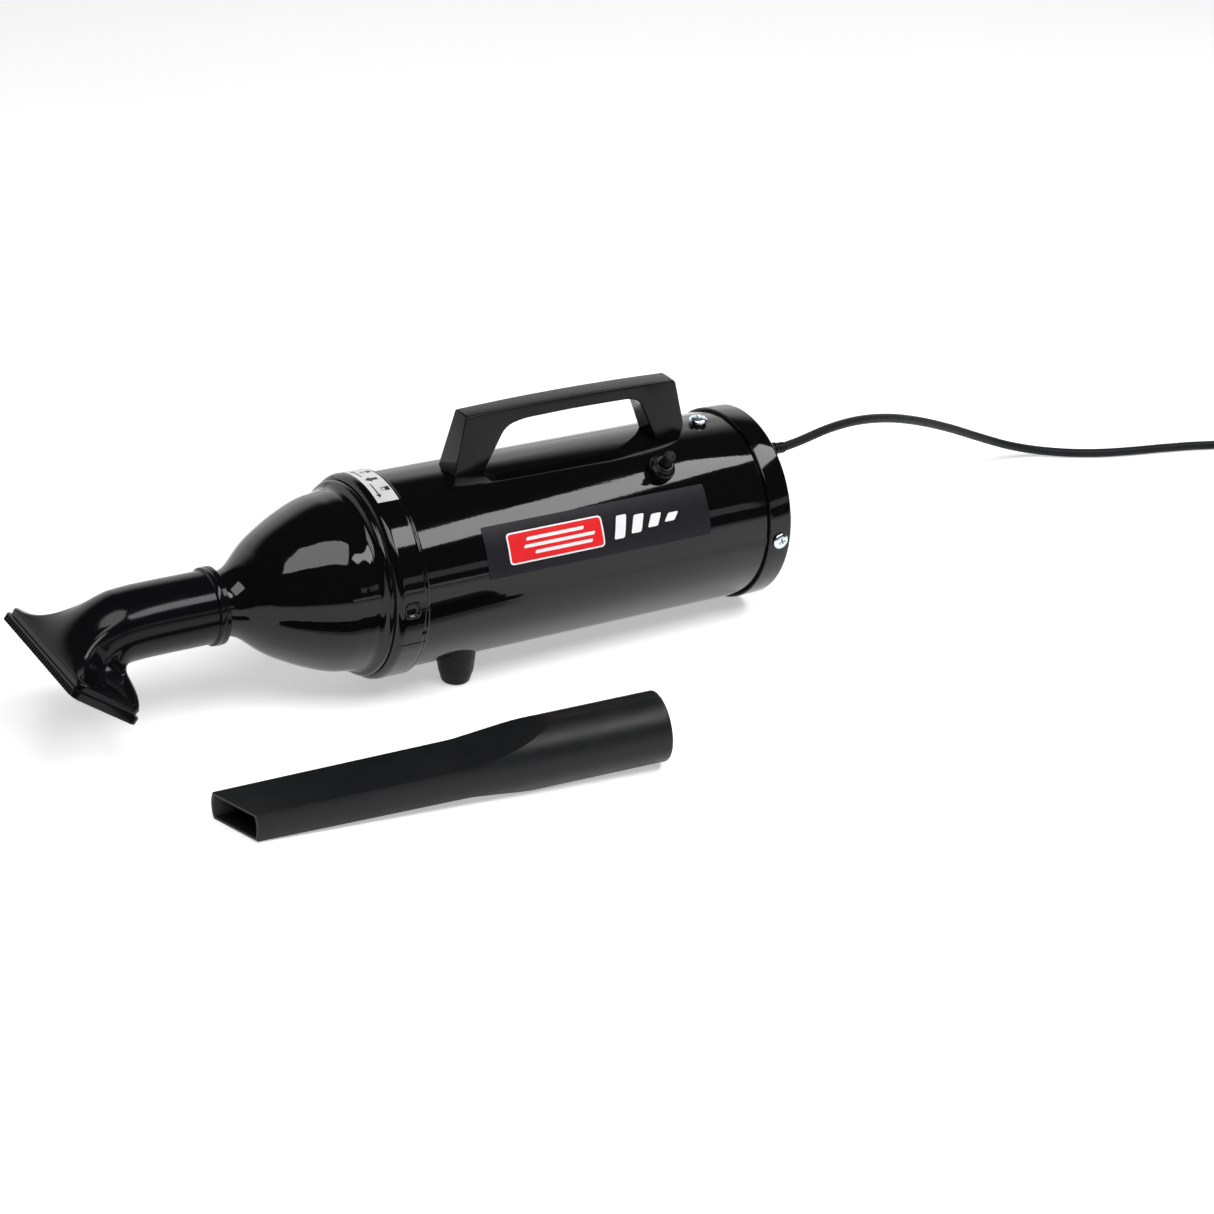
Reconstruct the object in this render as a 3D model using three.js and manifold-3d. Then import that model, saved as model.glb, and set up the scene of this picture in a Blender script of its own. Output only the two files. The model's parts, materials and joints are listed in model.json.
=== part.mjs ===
// A corded all-steel hand vacuum: a round motor housing with a handle on top, a bayonet nose cone
// that holds the dust bag, a swivelling pick-up nozzle on its neck, a loose crevice tool and the mains lead.
// Millimetres, +Z up. Housing pieces are drawn along their own axis: x = 0 at the lock ring's rear edge,
// -X towards the nozzle, and angles are counted from the top towards the switch side (-Y).
import * as THREE from "three";
import { mergeVertices } from "three/addons/utils/BufferGeometryUtils.js";
import Module from "manifold-3d";

const wasm = await Module();
wasm.setup();

// ---- Driving dimensions ----
const gap = 0.3; // left between pieces that touch
const fine = 32; // sides of the large round pieces
const medium = 24;
const coarse = 12;

const bodyRadius = 50.8;
const bodyWall = 1.2;
const bodyFront = -16;
const bodyRear = 219.6;

const capRadius = 52.3;
const capSleeve = 14;
const capWall = 1.1;
const capScrewHead = 4.4;
const topScrewHead = 5;
const topScrewX = 190.3;
const screwShank = 1.8;
const exhaustHoleRadius = 3.4;

const ringRadius = 53.2;
const ringWall = 1.5;
const ringBand = 15;
const ringShoulder = 4.5;

const neckRadius = 16.4;
const neckLength = 26;
const domeWall = 1.2;
const domeLength = 66;
const bagRear = 33.5;

const lugAngle = 84.4;
const lugSize = 6;
const lugCentre = -10.5;
const unlockTurn = 25;

const handleFront = 43;
const handleRear = 169.8;
const handleHeight = 81; // from the housing axis
const handleTopHalf = 5.75;
const handleFootHalf = 8.5;
const gripThickness = 6.4;
const gripSpan = 88;

const footReach = 57; // from the housing axis to the sole
const footX = 34;
const footSpread = 25.7;
const footRadius = 8;
const footScrewShank = 1.8;

const switchX = 148.3;
const switchAngle = 34;
const nutRadius = 7.3;
const bushingRadius = 4.3;
const bushingTop = 59;
const plungerRadius = 3.2;
const plungerTip = 66.3;
const buttonTravel = 3;

const shaftRadius = 4;
const fanRadius = 41;
const fanDepth = 8;
const firstFan = 54;
const stageSpacing = 17;
const motorStart = 84;
const motorEnd = 176;
const coreLength = 30;
const coreCentre = 122;
const armatureRadius = 19.8;
const airGap = 0.6;
const stackRadius = 38;
const commutatorRadius = 11;
const commutatorX = 157;
const bearingRadius = 8;
const bearingWidth = 6;
const slotCount = 12;
const boltRadius = 1.8;
const boltAngles = [150, 330];
const brushHalf = [3.9, 2.9];
const brushEnd = 23;
const holderEnd = 33;

const nozzleTube = 18.5;
const nozzleWall = 1.5;
const mouthWidth = 88.4;
const mouthDepth = 40.5;
const mouthTurn = 54.3; // how far the duct turns down, in degrees
const flangeHeight = 8;
const lipHeight = 4;
const lipStep = 1.4;

const toolLength = 225;
const toolSocket = 18;
const toolWall = 1.7;
const bladeWidth = 28.9;
const bladeThickness = 15;
const mitreDepth = 14.6;
const toolSlope = (toolSocket - bladeThickness / 2) / toolLength; // of the line from the socket to the tip

const cordDiameter = 5.2;
const cordExitHeight = 26; // above the housing axis, on the rear cap
const reliefLength = 28;
const reliefNeck = 5;
const coilColumns = 5;
const coilLayers = 3;
const coilPitch = 5.4;
const coilRadius = 33.5;
const plugSize = { length: 30, width: 22, height: 13 };

const film = 0.22; // thickness of the stuck-on labels
const filmGap = 0.12;

// ---- Solids from three.js geometry ----
const degrees = THREE.MathUtils.degToRad;

function solidOf(geometry) {
  const bare = geometry.index ? geometry.toNonIndexed() : geometry.clone();
  for (const name of Object.keys(bare.attributes)) if (name !== "position") bare.deleteAttribute(name);
  const merged = mergeVertices(bare, 1e-4);
  const corners = merged.index.array;
  const kept = [];
  for (let i = 0; i < corners.length; i += 3) {
    const [a, b, c] = corners.slice(i, i + 3);
    if (a !== b && b !== c && c !== a) kept.push(a, b, c);
  }
  const build = (order) =>
    new wasm.Manifold(
      new wasm.Mesh({
        numProp: 3,
        vertProperties: merged.attributes.position.array,
        triVerts: Uint32Array.from(order),
      }),
    );
  const made = build(kept);
  return made.volume() < 0 ? build(kept.reverse()) : made;
}

function geometryOf(solid) {
  const mesh = solid.getMesh();
  return new THREE.BufferGeometry()
    .setAttribute("position", new THREE.BufferAttribute(mesh.vertProperties, 3))
    .setIndex(new THREE.BufferAttribute(mesh.triVerts, 1));
}

const join = (...pieces) => geometryOf(pieces.map(solidOf).reduce((a, b) => a.add(b)));
const cut = (piece, ...tools) =>
  geometryOf(tools.map(solidOf).reduce((a, b) => a.subtract(b), solidOf(piece)));
const common = (a, b) => geometryOf(solidOf(a).intersect(solidOf(b)));

// A profile of [x, radius] points turned about the housing axis, closed on itself unless it ends there.
function turned(profile, sides = fine) {
  const onAxis = profile[0][1] === 0 && profile.at(-1)[1] === 0;
  const points = (onAxis ? profile : [...profile, profile[0]]).map(([x, r]) => new THREE.Vector2(r, x));
  return new THREE.LatheGeometry(points, sides).rotateZ(-Math.PI / 2);
}

const tube = (x0, x1, inner, outer, sides = fine) =>
  turned([[x0, inner], [x0, outer], [x1, outer], [x1, inner]], sides);

const disc = (x0, x1, radius, sides = fine) => turned([[x0, 0], [x0, radius], [x1, radius], [x1, 0]], sides);

const block = (x0, x1, y0, y1, z0, z1) =>
  new THREE.BoxGeometry(x1 - x0, y1 - y0, z1 - z0).translate((x0 + x1) / 2, (y0 + y1) / 2, (z0 + z1) / 2);

// A flat outline in the plane across the axis, given as THREE.Shape of (y, z), pushed from x0 to x1.
function across(shape, x0, x1, curveSegments = 6) {
  const basis = new THREE.Matrix4().makeBasis(
    new THREE.Vector3(0, 1, 0),
    new THREE.Vector3(0, 0, 1),
    new THREE.Vector3(1, 0, 0),
  );
  return new THREE.ExtrudeGeometry(shape, { depth: x1 - x0, bevelEnabled: false, curveSegments })
    .applyMatrix4(basis)
    .translate(x0, 0, 0);
}

// A piece of a ring between two angles and two radii.
function sector(from, to, inner, outer, x0, x1, step = 4) {
  const count = Math.max(2, Math.ceil((to - from) / step));
  const arc = (radius, k) => {
    const angle = degrees(from + ((to - from) * k) / count);
    return new THREE.Vector2(-radius * Math.sin(angle), radius * Math.cos(angle));
  };
  const points = [];
  for (let k = 0; k <= count; k++) points.push(arc(outer, k));
  for (let k = count; k >= 0; k--) points.push(arc(inner, k));
  return across(new THREE.Shape(points), x0, x1);
}

// A turned pin, screw or foot that stands on the housing: profile of [height, radius], height from the axis.
function standing(profile, x, angle, sides = coarse) {
  return turned(profile, sides)
    .rotateY(-Math.PI / 2)
    .rotateX(degrees(angle))
    .translate(x, 0, 0);
}

// A plain round pin that stands on the housing, between two heights from the axis.
const radialPin = (from, to, radius, x, angle, sides = 10) =>
  standing([[from, 0], [from, radius], [to, radius], [to, 0]], x, angle, sides);

const turnAbout = (geometry, angle) => geometry.clone().rotateX(degrees(angle));
const repeat = (count, make) => Array.from({ length: count }, (_, k) => make(k));

// A rounded rectangle as a ring of points (across, along), counter-clockwise.
function roundedRing(halfWidth, halfDepth, corner, perCorner = 6) {
  const r = Math.min(corner, halfWidth, halfDepth);
  const points = [];
  for (let q = 0; q < 4; q++) {
    const cx = (q === 0 || q === 3 ? 1 : -1) * (halfWidth - r);
    const cy = (q < 2 ? 1 : -1) * (halfDepth - r);
    for (let k = 0; k < perCorner; k++) {
      const angle = ((q + k / (perCorner - 1)) * Math.PI) / 2;
      points.push([cx + r * Math.cos(angle), cy + r * Math.sin(angle)]);
    }
  }
  return points;
}

// A closed solid through rings of equal count, each an array of THREE.Vector3.
function loft(rings) {
  const n = rings[0].length;
  const positions = [];
  const push = (...points) => points.forEach((p) => positions.push(p.x, p.y, p.z));
  for (let i = 0; i + 1 < rings.length; i++)
    for (let k = 0; k < n; k++) {
      const [a, b] = [rings[i][k], rings[i][(k + 1) % n]];
      const [c, d] = [rings[i + 1][k], rings[i + 1][(k + 1) % n]];
      push(a, b, d, a, d, c);
    }
  const lid = (ring, flip) => {
    const middle = ring.reduce((sum, p) => sum.add(p), new THREE.Vector3()).divideScalar(n);
    for (let k = 0; k < n; k++) {
      const [a, b] = flip ? [ring[(k + 1) % n], ring[k]] : [ring[k], ring[(k + 1) % n]];
      push(middle, a, b);
    }
  };
  lid(rings[0], true);
  lid(rings.at(-1), false);
  return new THREE.BufferGeometry().setAttribute("position", new THREE.Float32BufferAttribute(positions, 3));
}

// A round bar along a curve.
function bar(curve, radius, sides, steps) {
  const ring = new THREE.Shape(
    repeat(sides, (k) => {
      const angle = (2 * Math.PI * k) / sides;
      return new THREE.Vector2(radius * Math.cos(angle), radius * Math.sin(angle));
    }),
  );
  return new THREE.ExtrudeGeometry(ring, { steps, bevelEnabled: false, extrudePath: curve });
}

// ---- Materials ----
const finish = (color, roughness, metalness = 0) =>
  new THREE.MeshStandardMaterial({ color, roughness, metalness });
const enamel = finish(0x050505, 0.12, 0.2);
const glossPlastic = finish(0x0b0b0c, 0.25);
const satinPlastic = finish(0x16181a, 0.55);
const rubber = finish(0x0d0d0d, 0.8);
const zinc = finish(0xb8bcc0, 0.3, 1);
const steel = finish(0x8f9296, 0.35, 1);
const lamination = finish(0x5b5e63, 0.5, 0.9);
const aluminium = finish(0xb9bcbf, 0.35, 1);
const copper = finish(0xb4622e, 0.35, 1);
const brass = finish(0xb99a4b, 0.35, 1);
const carbon = finish(0x1b1b1d, 0.85);
const whitePlastic = finish(0xd8d6cf, 0.6);
const bagPaper = finish(0xcdb892, 0.95);
const labelFilm = finish(0xdedede, 0.4);
const decalFilm = finish(0x1d1c20, 0.6);

const vacuum = new THREE.Group(); // the pieces along the housing axis
const loose = new THREE.Group(); // the crevice tool
const lead = new THREE.Group(); // the cord and what is on it

function add(group, name, geometry, material) {
  const mesh = new THREE.Mesh(geometryOf(solidOf(geometry)), material);
  mesh.name = name;
  group.add(mesh);
  return mesh;
}

// ---- Housing ----
function housingTube() {
  const bodyInner = bodyRadius - bodyWall;
  const slotHalf = lugSize / 2 + 0.8;
  const slotMargin = 5;
  const slots = [0, 180].flatMap((side) => {
    const from = side + lugAngle - unlockTurn - slotMargin;
    const cutter = [bodyInner - 2, bodyRadius + 2];
    return [
      sector(from, side + lugAngle + slotMargin, ...cutter, lugCentre - slotHalf, lugCentre + slotHalf),
      sector(from, from + 2 * slotMargin, ...cutter, bodyFront - 1, lugCentre + slotHalf),
    ];
  });
  const drill = (x, angle, radius) => radialPin(bodyInner - 8, bodyRadius + 8, radius, x, angle);
  return cut(
    tube(bodyFront, bodyRear - capWall - gap, bodyInner, bodyRadius),
    ...slots,
    drill(switchX, switchAngle, bushingRadius + gap),
    drill(topScrewX, 0, screwShank + gap),
    ...[90, 270].map((angle) => drill(capScrewX, angle, screwShank + gap)),
    ...handleScrewXs.map((x) => drill(x, 0, screwShank + gap)),
    ...[-1, 1].map((side) => footBore(side, footScrewShank + gap, footReach, bodyInner / 2)),
  );
}

const capScrewX = bodyRear - capSleeve / 2 + 1.2;
const handleScrewXs = [handleFront + 6, handleRear - 6];
const capRear = bodyRear + capWall + gap + 0.2;
const restPitch = Math.atan2(footReach - capRadius, capRear - footX);

// The housing stands pitched, so each foot is turned back about its sole to meet the floor squarely.
const atFoot = (geometry, side) =>
  geometry
    .rotateX(Math.PI / 2)
    .translate(0, 0, footReach)
    .rotateY(-restPitch)
    .translate(footX, side * footSpread, -footReach);

// A vertical bore or pin at one front foot, between two depths below the axis.
function footBore(side, radius, low, high, sides = 12) {
  const pin = new THREE.CylinderGeometry(radius, radius, low - high, sides);
  return atFoot(pin.translate(0, -(low + high) / 2, 0), side);
}

function screw(underHead, headRadius, headHeight, shank, length, x, angle, recess = true) {
  const top = underHead + headHeight;
  const outline = [
    [underHead - length, 0],
    [underHead - length, shank],
    [underHead, shank],
    [underHead, headRadius],
    [underHead + headHeight * 0.45, headRadius],
    [underHead + headHeight * 0.8, headRadius * 0.8],
    [top, headRadius * 0.4],
    [top, 0],
  ];
  const body = standing(outline, x, angle);
  if (!recess) return body;
  const arm = headRadius * 0.55;
  const slot = (w, l) =>
    block(-w, w, -l, l, top - headHeight * 0.45, top + 1).rotateX(degrees(angle)).translate(x, 0, 0);
  return cut(body, slot(headRadius * 0.13, arm), slot(arm, headRadius * 0.13));
}

function rearCap() {
  const inner = capRadius - capWall;
  const rim = 1.2;
  const shell = turned([
    [capRear - capSleeve, inner],
    [capRear - capSleeve, capRadius],
    [capRear - rim, capRadius],
    [capRear, capRadius - rim],
    [capRear, 0.01],
    [capRear - capWall, 0.01],
    [capRear - capWall, inner],
  ]);
  const hole = (radius, angle, size, sides = 6) =>
    turned([[capRear - 3, 0], [capRear - 3, size], [capRear + 1, size], [capRear + 1, 0]], sides)
      .translate(0, 0, radius)
      .rotateX(degrees(angle));
  const holes = exhaustRings.flatMap(({ radius, count }) =>
    repeat(count, (k) => (360 * (k + 0.5)) / count)
      .filter((angle) => Math.abs(radius - cordExitHeight) > 8 || Math.min(angle, 360 - angle) > 24)
      .map((angle) => hole(radius, angle, exhaustHoleRadius)),
  );
  const drill = (angle) => radialPin(inner - 5, capRadius + 5, screwShank + gap, capScrewX, angle);
  const cordHole = hole(cordExitHeight, 0, reliefNeck + gap, 16);
  return cut(shell, ...holes, cordHole, hole(0, 0, 1), drill(90), drill(270));
}

const exhaustRings = [
  { radius: 13, count: 6 },
  { radius: 27, count: 10 },
  { radius: 40, count: 16 },
];

// ---- Handle: a side outline given its taper by a wedge and seated on the housing ----
function handle() {
  const gripMiddle = (handleFront + handleRear) / 2;
  const grip = handleHeight - gripThickness;
  const [innerFront, innerRear] = [gripMiddle - gripSpan / 2, gripMiddle + gripSpan / 2];
  const low = bodyRadius - 6;
  const outline = new THREE.Shape();
  outline.moveTo(handleFront - 6.5, low);
  outline.lineTo(handleFront, handleHeight);
  outline.quadraticCurveTo(gripMiddle, handleHeight + 2.6, handleRear - 3, handleHeight + 0.6);
  outline.quadraticCurveTo(handleRear, handleHeight + 0.5, handleRear + 0.6, handleHeight - 3);
  outline.lineTo(handleRear + 5.6, low + 11);
  outline.quadraticCurveTo(handleRear + 6.2, low + 6, handleRear + 3, low);
  outline.lineTo(innerRear + 8, low);
  outline.lineTo(innerRear - 3.5, grip - 6);
  outline.quadraticCurveTo(innerRear - 6, grip, innerRear - 14, grip + 0.4);
  outline.lineTo(innerFront + 12, grip);
  outline.quadraticCurveTo(innerFront + 5, grip - 0.6, innerFront + 3, grip - 5);
  outline.lineTo(innerFront - 9, low);
  outline.closePath();
  const side = new THREE.ExtrudeGeometry(outline, { depth: 40, bevelEnabled: false, curveSegments: 5 })
    .rotateX(Math.PI / 2)
    .translate(0, 20, 0);
  const wedge = new THREE.Shape();
  const lean = (handleFootHalf - handleTopHalf) / (handleHeight - bodyRadius);
  const [foot, top] = [handleFootHalf + lean * 6, handleTopHalf - lean * 2];
  wedge.moveTo(-foot, low - 1);
  wedge.lineTo(foot, low - 1);
  wedge.lineTo(top, handleHeight + 3);
  wedge.lineTo(-top, handleHeight + 3);
  wedge.closePath();
  const tapered = common(side, across(wedge, handleFront - 20, handleRear + 20));
  const pilot = (x) => radialPin(bodyRadius - 8, bodyRadius + 13, screwShank + gap, x, 0);
  return cut(tapered, disc(0, 220, bodyRadius + gap), ...handleScrewXs.map(pilot));
}

// ---- Feet: upright rubber buffers screwed through the housing, soles level with the floor ----
function foot(side) {
  const sole = footReach;
  const root = bodyRadius - 22;
  const flare = new THREE.LatheGeometry(
    [
      [0, -sole],
      [footRadius - 1, -sole],
      [footRadius, -sole + 1],
      [footRadius + 2.2, -sole + 10],
      [footRadius + 2.2, -root],
      [0, -root],
    ].map(([r, z]) => new THREE.Vector2(r, z)),
    20,
  );
  return cut(
    atFoot(flare, side),
    disc(footX - 40, footX + 40, bodyRadius + gap),
    footBore(side, footScrewShank + 2, footReach + 1, footReach - 5),
    footBore(side, footScrewShank + gap, footReach, 20),
  );
}

const footScrew = (side) =>
  join(
    footBore(side, footScrewShank + 1.6, footReach - 1.5, footReach - 5 + gap),
    footBore(side, footScrewShank, footReach - 3, footReach - 20),
  );

// ---- Switch: a push button in a threaded bushing with a knurled nut ----
const switchInner = Math.sqrt((bodyRadius - bodyWall) ** 2 - nutRadius ** 2) - gap;

const switchBottom = 31;

function switchBody() {
  const outer = standing(
    [
      [switchBottom, 0],
      [switchBottom, nutRadius],
      [switchInner, nutRadius],
      [switchInner, bushingRadius],
      [bushingTop - 2.6, bushingRadius],
      [bushingTop - 2.6, bushingRadius + 1.3],
      [bushingTop, bushingRadius + 0.7],
      [bushingTop, 0],
    ],
    switchX,
    switchAngle,
    20,
  );
  const bore = radialPin(bushingTop - 14, bushingTop + 1, plungerRadius + gap, switchX, switchAngle, coarse);
  return cut(outer, bore);
}

function switchNut() {
  const teeth = 20;
  const ring = new THREE.Shape(
    repeat(2 * teeth, (k) => {
      const angle = (Math.PI * k) / teeth;
      const radius = nutRadius - (k % 2) * 0.5;
      return new THREE.Vector2(radius * Math.cos(angle), radius * Math.sin(angle));
    }),
  );
  ring.holes.push(new THREE.Path().absarc(0, 0, bushingRadius + gap, 0, 2 * Math.PI, true));
  const depth = bushingTop - 2.9 - bodyRadius - gap;
  return new THREE.ExtrudeGeometry(ring, { depth, bevelEnabled: false, curveSegments: 10 })
    .translate(0, 0, bodyRadius + gap)
    .rotateX(degrees(switchAngle))
    .translate(switchX, 0, 0);
}

const switchPlunger = () =>
  standing(
    [
      [bushingTop - 13 + buttonTravel, 0],
      [bushingTop - 13 + buttonTravel, plungerRadius],
      [plungerTip - 0.8, plungerRadius],
      [plungerTip, plungerRadius - 0.9],
      [plungerTip, 0],
    ],
    switchX,
    switchAngle,
  );

// ---- Nose: dome, lock ring with bayonet lugs, gasket, bag collar and bag ----
const flangeX = bodyFront - 4; // rear face of the dome's flange, ahead of the gasket
const flangeRadius = bodyRadius - 0.8;
const neckFront = flangeX - domeLength - neckLength;

// Outer radius of the dome at a distance ahead of its flange: a flared neck into an ogive.
const domeStations = [
  [0, 48.3],
  [3, 46.8],
  [13, 45],
  [23, 42.3],
  [33, 38],
  [41, 33.3],
  [49, 27.4],
  [55, 22],
  [59, 18.8],
  [domeLength, neckRadius],
];

function noseDome() {
  const lip = 1.6;
  const outer = domeStations.map(([ahead, r]) => [flangeX - lip - (ahead * (domeLength - lip)) / domeLength, r]);
  const inner = outer.map(([x, r]) => [x + 0.5, r - domeWall]).reverse();
  return turned([
    [flangeX, flangeRadius - 4],
    [flangeX, flangeRadius],
    [flangeX - lip, flangeRadius],
    ...outer,
    [neckFront, neckRadius],
    [neckFront, neckRadius - domeWall],
    ...inner,
  ]);
}

function lockRing() {
  const inner = ringRadius - ringWall;
  const centre = ringRadius - ringShoulder;
  const arc = (radius, from, to) =>
    repeat(4, (k) => {
      const angle = from + ((to - from) * k) / 3;
      return [-ringBand - radius * Math.sin(angle), centre + radius * Math.cos(angle)];
    });
  const reach = Math.acos((flangeRadius + gap - centre) / ringShoulder);
  const band = turned([
    [0, inner],
    [0, ringRadius],
    ...arc(ringShoulder, 0, reach),
    ...arc(ringShoulder - ringWall, reach * 0.86, 0),
  ]);
  const half = lugSize / 2;
  const lugInner = bodyRadius - bodyWall - 0.8;
  const lug = (side) =>
    turnAbout(
      block(lugCentre - half, lugCentre + half, -half, half, lugInner, ringRadius - 0.6),
      lugAngle + side,
    );
  return join(band, lug(0), lug(180));
}

const noseGasket = () => tube(flangeX + gap, bodyFront - gap, flangeRadius - 3.5, flangeRadius);

const bagNeckX = flangeX - domeLength + 7;
const bagLength = bagRear - bagNeckX;
const bagCollar = () => tube(bagNeckX - 4, bagNeckX, 11.5, 15.6, medium);

function dustBag() {
  const wall = 1;
  const stations = [
    // share of the bag's length, radius
    [0, 12.6],
    [0.07, 20.5],
    [0.16, 29.4],
    [0.285, 36.8],
    [0.48, 41],
    [0.71, 40.4],
    [0.88, 35],
    [0.97, 24],
  ];
  const placed = (back, r) => [bagNeckX + gap + back * bagLength, r];
  const outer = stations.map(([back, r]) => placed(back, r));
  const inner = stations.slice(0, -1).map(([back, r]) => placed(back, r - wall));
  return turned([[bagRear, 0], ...outer.reverse(), ...inner, [bagRear - 1.3, 0]], medium);
}

// ---- Air path behind the bag ----
function inletGuard() {
  const [front, rear] = [40, 41.5];
  const rim = bodyRadius - bodyWall - gap;
  const spoke = (k) => turnAbout(block(front, rear, -1.5, 1.5, 1 - rim, rim - 1), 60 * k);
  return join(
    tube(front, rear, rim - 3.5, rim, medium),
    tube(front, rear, 26, 28.5, medium),
    disc(front, rear, 9, coarse),
    ...repeat(3, spoke),
  );
}

const shroudRadius = fanRadius + 5;
const shroudFront = firstFan - 5;
const shroudRear = motorStart - 1.5;

const fanShroud = () =>
  turned([
    [shroudFront, 17],
    [shroudFront, shroudRadius],
    [shroudRear - 1.2, shroudRadius],
    [shroudRear - 1.2, bodyRadius - bodyWall - gap],
    [shroudRear, bodyRadius - bodyWall - gap],
    [shroudRear, shroudRadius - 1.2],
    [shroudFront + 1.2, shroudRadius - 1.2],
    [shroudFront + 1.2, 17],
  ]);

// A backward-curved blade as a thin sector strip, leaning by sweep degrees from hub to rim.
function blade(inner, outer, sweep, thickness, x0, x1) {
  const steps = 3;
  const line = (offset) =>
    repeat(steps + 1, (k) => {
      const radius = inner + ((outer - inner) * k) / steps;
      const angle = degrees(sweep * (k / steps) ** 1.4) + offset / radius;
      return new THREE.Vector2(radius * Math.cos(angle), radius * Math.sin(angle));
    });
  return across(new THREE.Shape([...line(0), ...line(thickness).reverse()]), x0, x1);
}

function fan(front) {
  const blades = 7;
  const back = front + fanDepth;
  const vane = (k) => turnAbout(blade(8, fanRadius - 0.5, 62, 1.2, front, back - 0.5), (360 * k) / blades);
  return cut(
    join(
      disc(back - 1, back, fanRadius, medium),
      disc(front, back, 9, coarse),
      ...repeat(blades, vane),
    ),
    disc(front - 1, back + 1, shaftRadius + gap, coarse),
  );
}

function diffuser() {
  const front = firstFan + fanDepth + 2;
  const rim = shroudRadius - 1.2 - gap;
  return join(
    tube(front, front + 1.2, 15, rim, medium),
    ...repeat(5, (k) => turnAbout(blade(17, rim - 1, -50, 1.2, front + 1, front + 4), 72 * k)),
  );
}

// ---- Motor ----
const secondFan = firstFan + stageSpacing;
const statorBore = armatureRadius + airGap;
const coilInner = statorBore + 1.4;
const coilOuter = coilInner + 7;
const coreFrom = coreCentre - coreLength / 2;
const coreTo = coreCentre + coreLength / 2;

function statorCore() {
  const flat = stackRadius - 5;
  const shape = common(
    tube(coreFrom, coreTo, statorBore, stackRadius, 36),
    block(coreFrom - 1, coreTo + 1, -flat, flat, -stackRadius, stackRadius),
  );
  const window = (side) =>
    sector(side + 60, side + 120, statorBore - 2, coilOuter + 0.6, coreFrom - 1, coreTo + 1, 10);
  return cut(shape, window(0), window(180));
}

function fieldCoil(turn) {
  const [endFrom, endTo] = [coreFrom - 8, coreTo + 8];
  const lobe = (a, b, x0, x1) => turnAbout(sector(a, b, coilInner, coilOuter, x0, x1, 12), turn);
  return join(
    lobe(63, 87, endFrom, endTo),
    lobe(-87, -63, endFrom, endTo),
    lobe(-87, 87, endFrom, coreFrom - 1),
    lobe(-87, 87, coreTo + 1, endTo),
  );
}

const armatureSlot = (halfWidth, inner, outer, x0, x1) => (k) =>
  turnAbout(block(x0, x1, -halfWidth, halfWidth, inner, outer), (360 * k) / slotCount);

const armatureCore = () =>
  cut(
    tube(coreFrom, coreTo, shaftRadius + gap, armatureRadius, 36),
    ...repeat(slotCount, armatureSlot(1.9, 10.5, armatureRadius + 1, coreFrom - 1, coreTo + 1)),
  );

function armatureWindings() {
  const overhang = 7;
  const [front, rear] = [coreFrom - gap, coreTo + gap];
  const bundle = (near, far) =>
    turned([[near, 8], [near, 17.4], [(near + 2 * far) / 3, 17.4], [far, 15], [far, 8]], 18);
  return join(
    bundle(front, front - overhang),
    bundle(rear, rear + overhang),
    ...repeat(slotCount, armatureSlot(1.5, 10.9, 17, coreFrom - 1, coreTo + 1)),
  );
}

function commutator() {
  const bars = slotCount;
  const [front, rear] = [commutatorX - 6.5, commutatorX + 6.5];
  const groove = (k) =>
    turnAbout(
      block(front + 1, rear + 1, -0.4, 0.4, commutatorRadius - 1, commutatorRadius + 1),
      (360 * (k + 0.5)) / bars,
    );
  return cut(tube(front, rear, shaftRadius + gap, commutatorRadius, medium), ...repeat(bars, groove));
}

function motorShaft() {
  const [front, rear] = [firstFan - 8, motorEnd + 5];
  const profile = [
    [front, 0],
    [front, shaftRadius - 0.8],
    [front + 1, shaftRadius],
    [rear - 1, shaftRadius],
    [rear, shaftRadius - 0.8],
    [rear, 0],
  ];
  return turned(profile, coarse);
}

const fanNut = () => {
  const [from, to] = [firstFan - 5.5, firstFan - gap];
  return cut(disc(from, to, 6.5, 6), disc(from - 1, to + 1, shaftRadius + gap, coarse));
};
const fanSpacer = () => tube(firstFan + fanDepth + gap, secondFan - gap, shaftRadius + gap, 7, coarse);

const bracketRadius = bodyRadius - bodyWall - 2.6;

// An end bracket: a plate with air windows and a boss round its bearing. The boss points into the motor.
function bracket(plateFrom, bossTo) {
  const plateTo = plateFrom + 2.4;
  const [bossFrom, bossEnd] = [Math.min(plateFrom, bossTo), Math.max(plateTo, bossTo)];
  const window = (k) => sector(90 * k + 10, 90 * k + 80, 17, bracketRadius - 9, plateFrom - 1, plateTo + 1, 18);
  return cut(
    join(disc(plateFrom, plateTo, bracketRadius, medium), disc(bossFrom, bossEnd, bearingRadius + 4, 16)),
    disc(bossFrom - 1, bossEnd + 1, bearingRadius + gap, 16),
    ...repeat(4, window),
    ...boltAngles.map((angle) => boltBore(angle, plateFrom - 1, plateTo + 1, boltRadius + gap)),
  );
}

const boltCircle = bracketRadius - 4.5;
const boltBore = (angle, x0, x1, radius) =>
  disc(x0, x1, radius, 8).translate(0, 0, boltCircle).rotateX(degrees(angle));
const motorBolt = (angle) =>
  join(
    boltBore(angle, motorStart - 1, motorEnd + 3, boltRadius),
    boltBore(angle, motorEnd + gap, motorEnd + 3, boltRadius * 2),
  );

const frontBearingX = motorStart + 1;
const rearBearingX = motorEnd - bearingWidth - 1;
const bearing = (x) => tube(x, x + bearingWidth, shaftRadius + gap / 2, bearingRadius, 16);
const mountRing = (x) => tube(x, x + 5, bracketRadius + gap, bodyRadius - bodyWall - gap, medium);

function brushHolder(side) {
  const [x, z] = [brushHalf[0] + gap, brushHalf[1] + gap];
  const wall = 1;
  const span = (from, to) => (side < 0 ? [-to, -from] : [from, to]);
  return cut(
    block(commutatorX - x - wall, commutatorX + x + wall, ...span(13.5, holderEnd), -z - wall, z + wall),
    block(commutatorX - x, commutatorX + x, ...span(12, holderEnd - 1.2), -z, z),
  );
}

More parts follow.
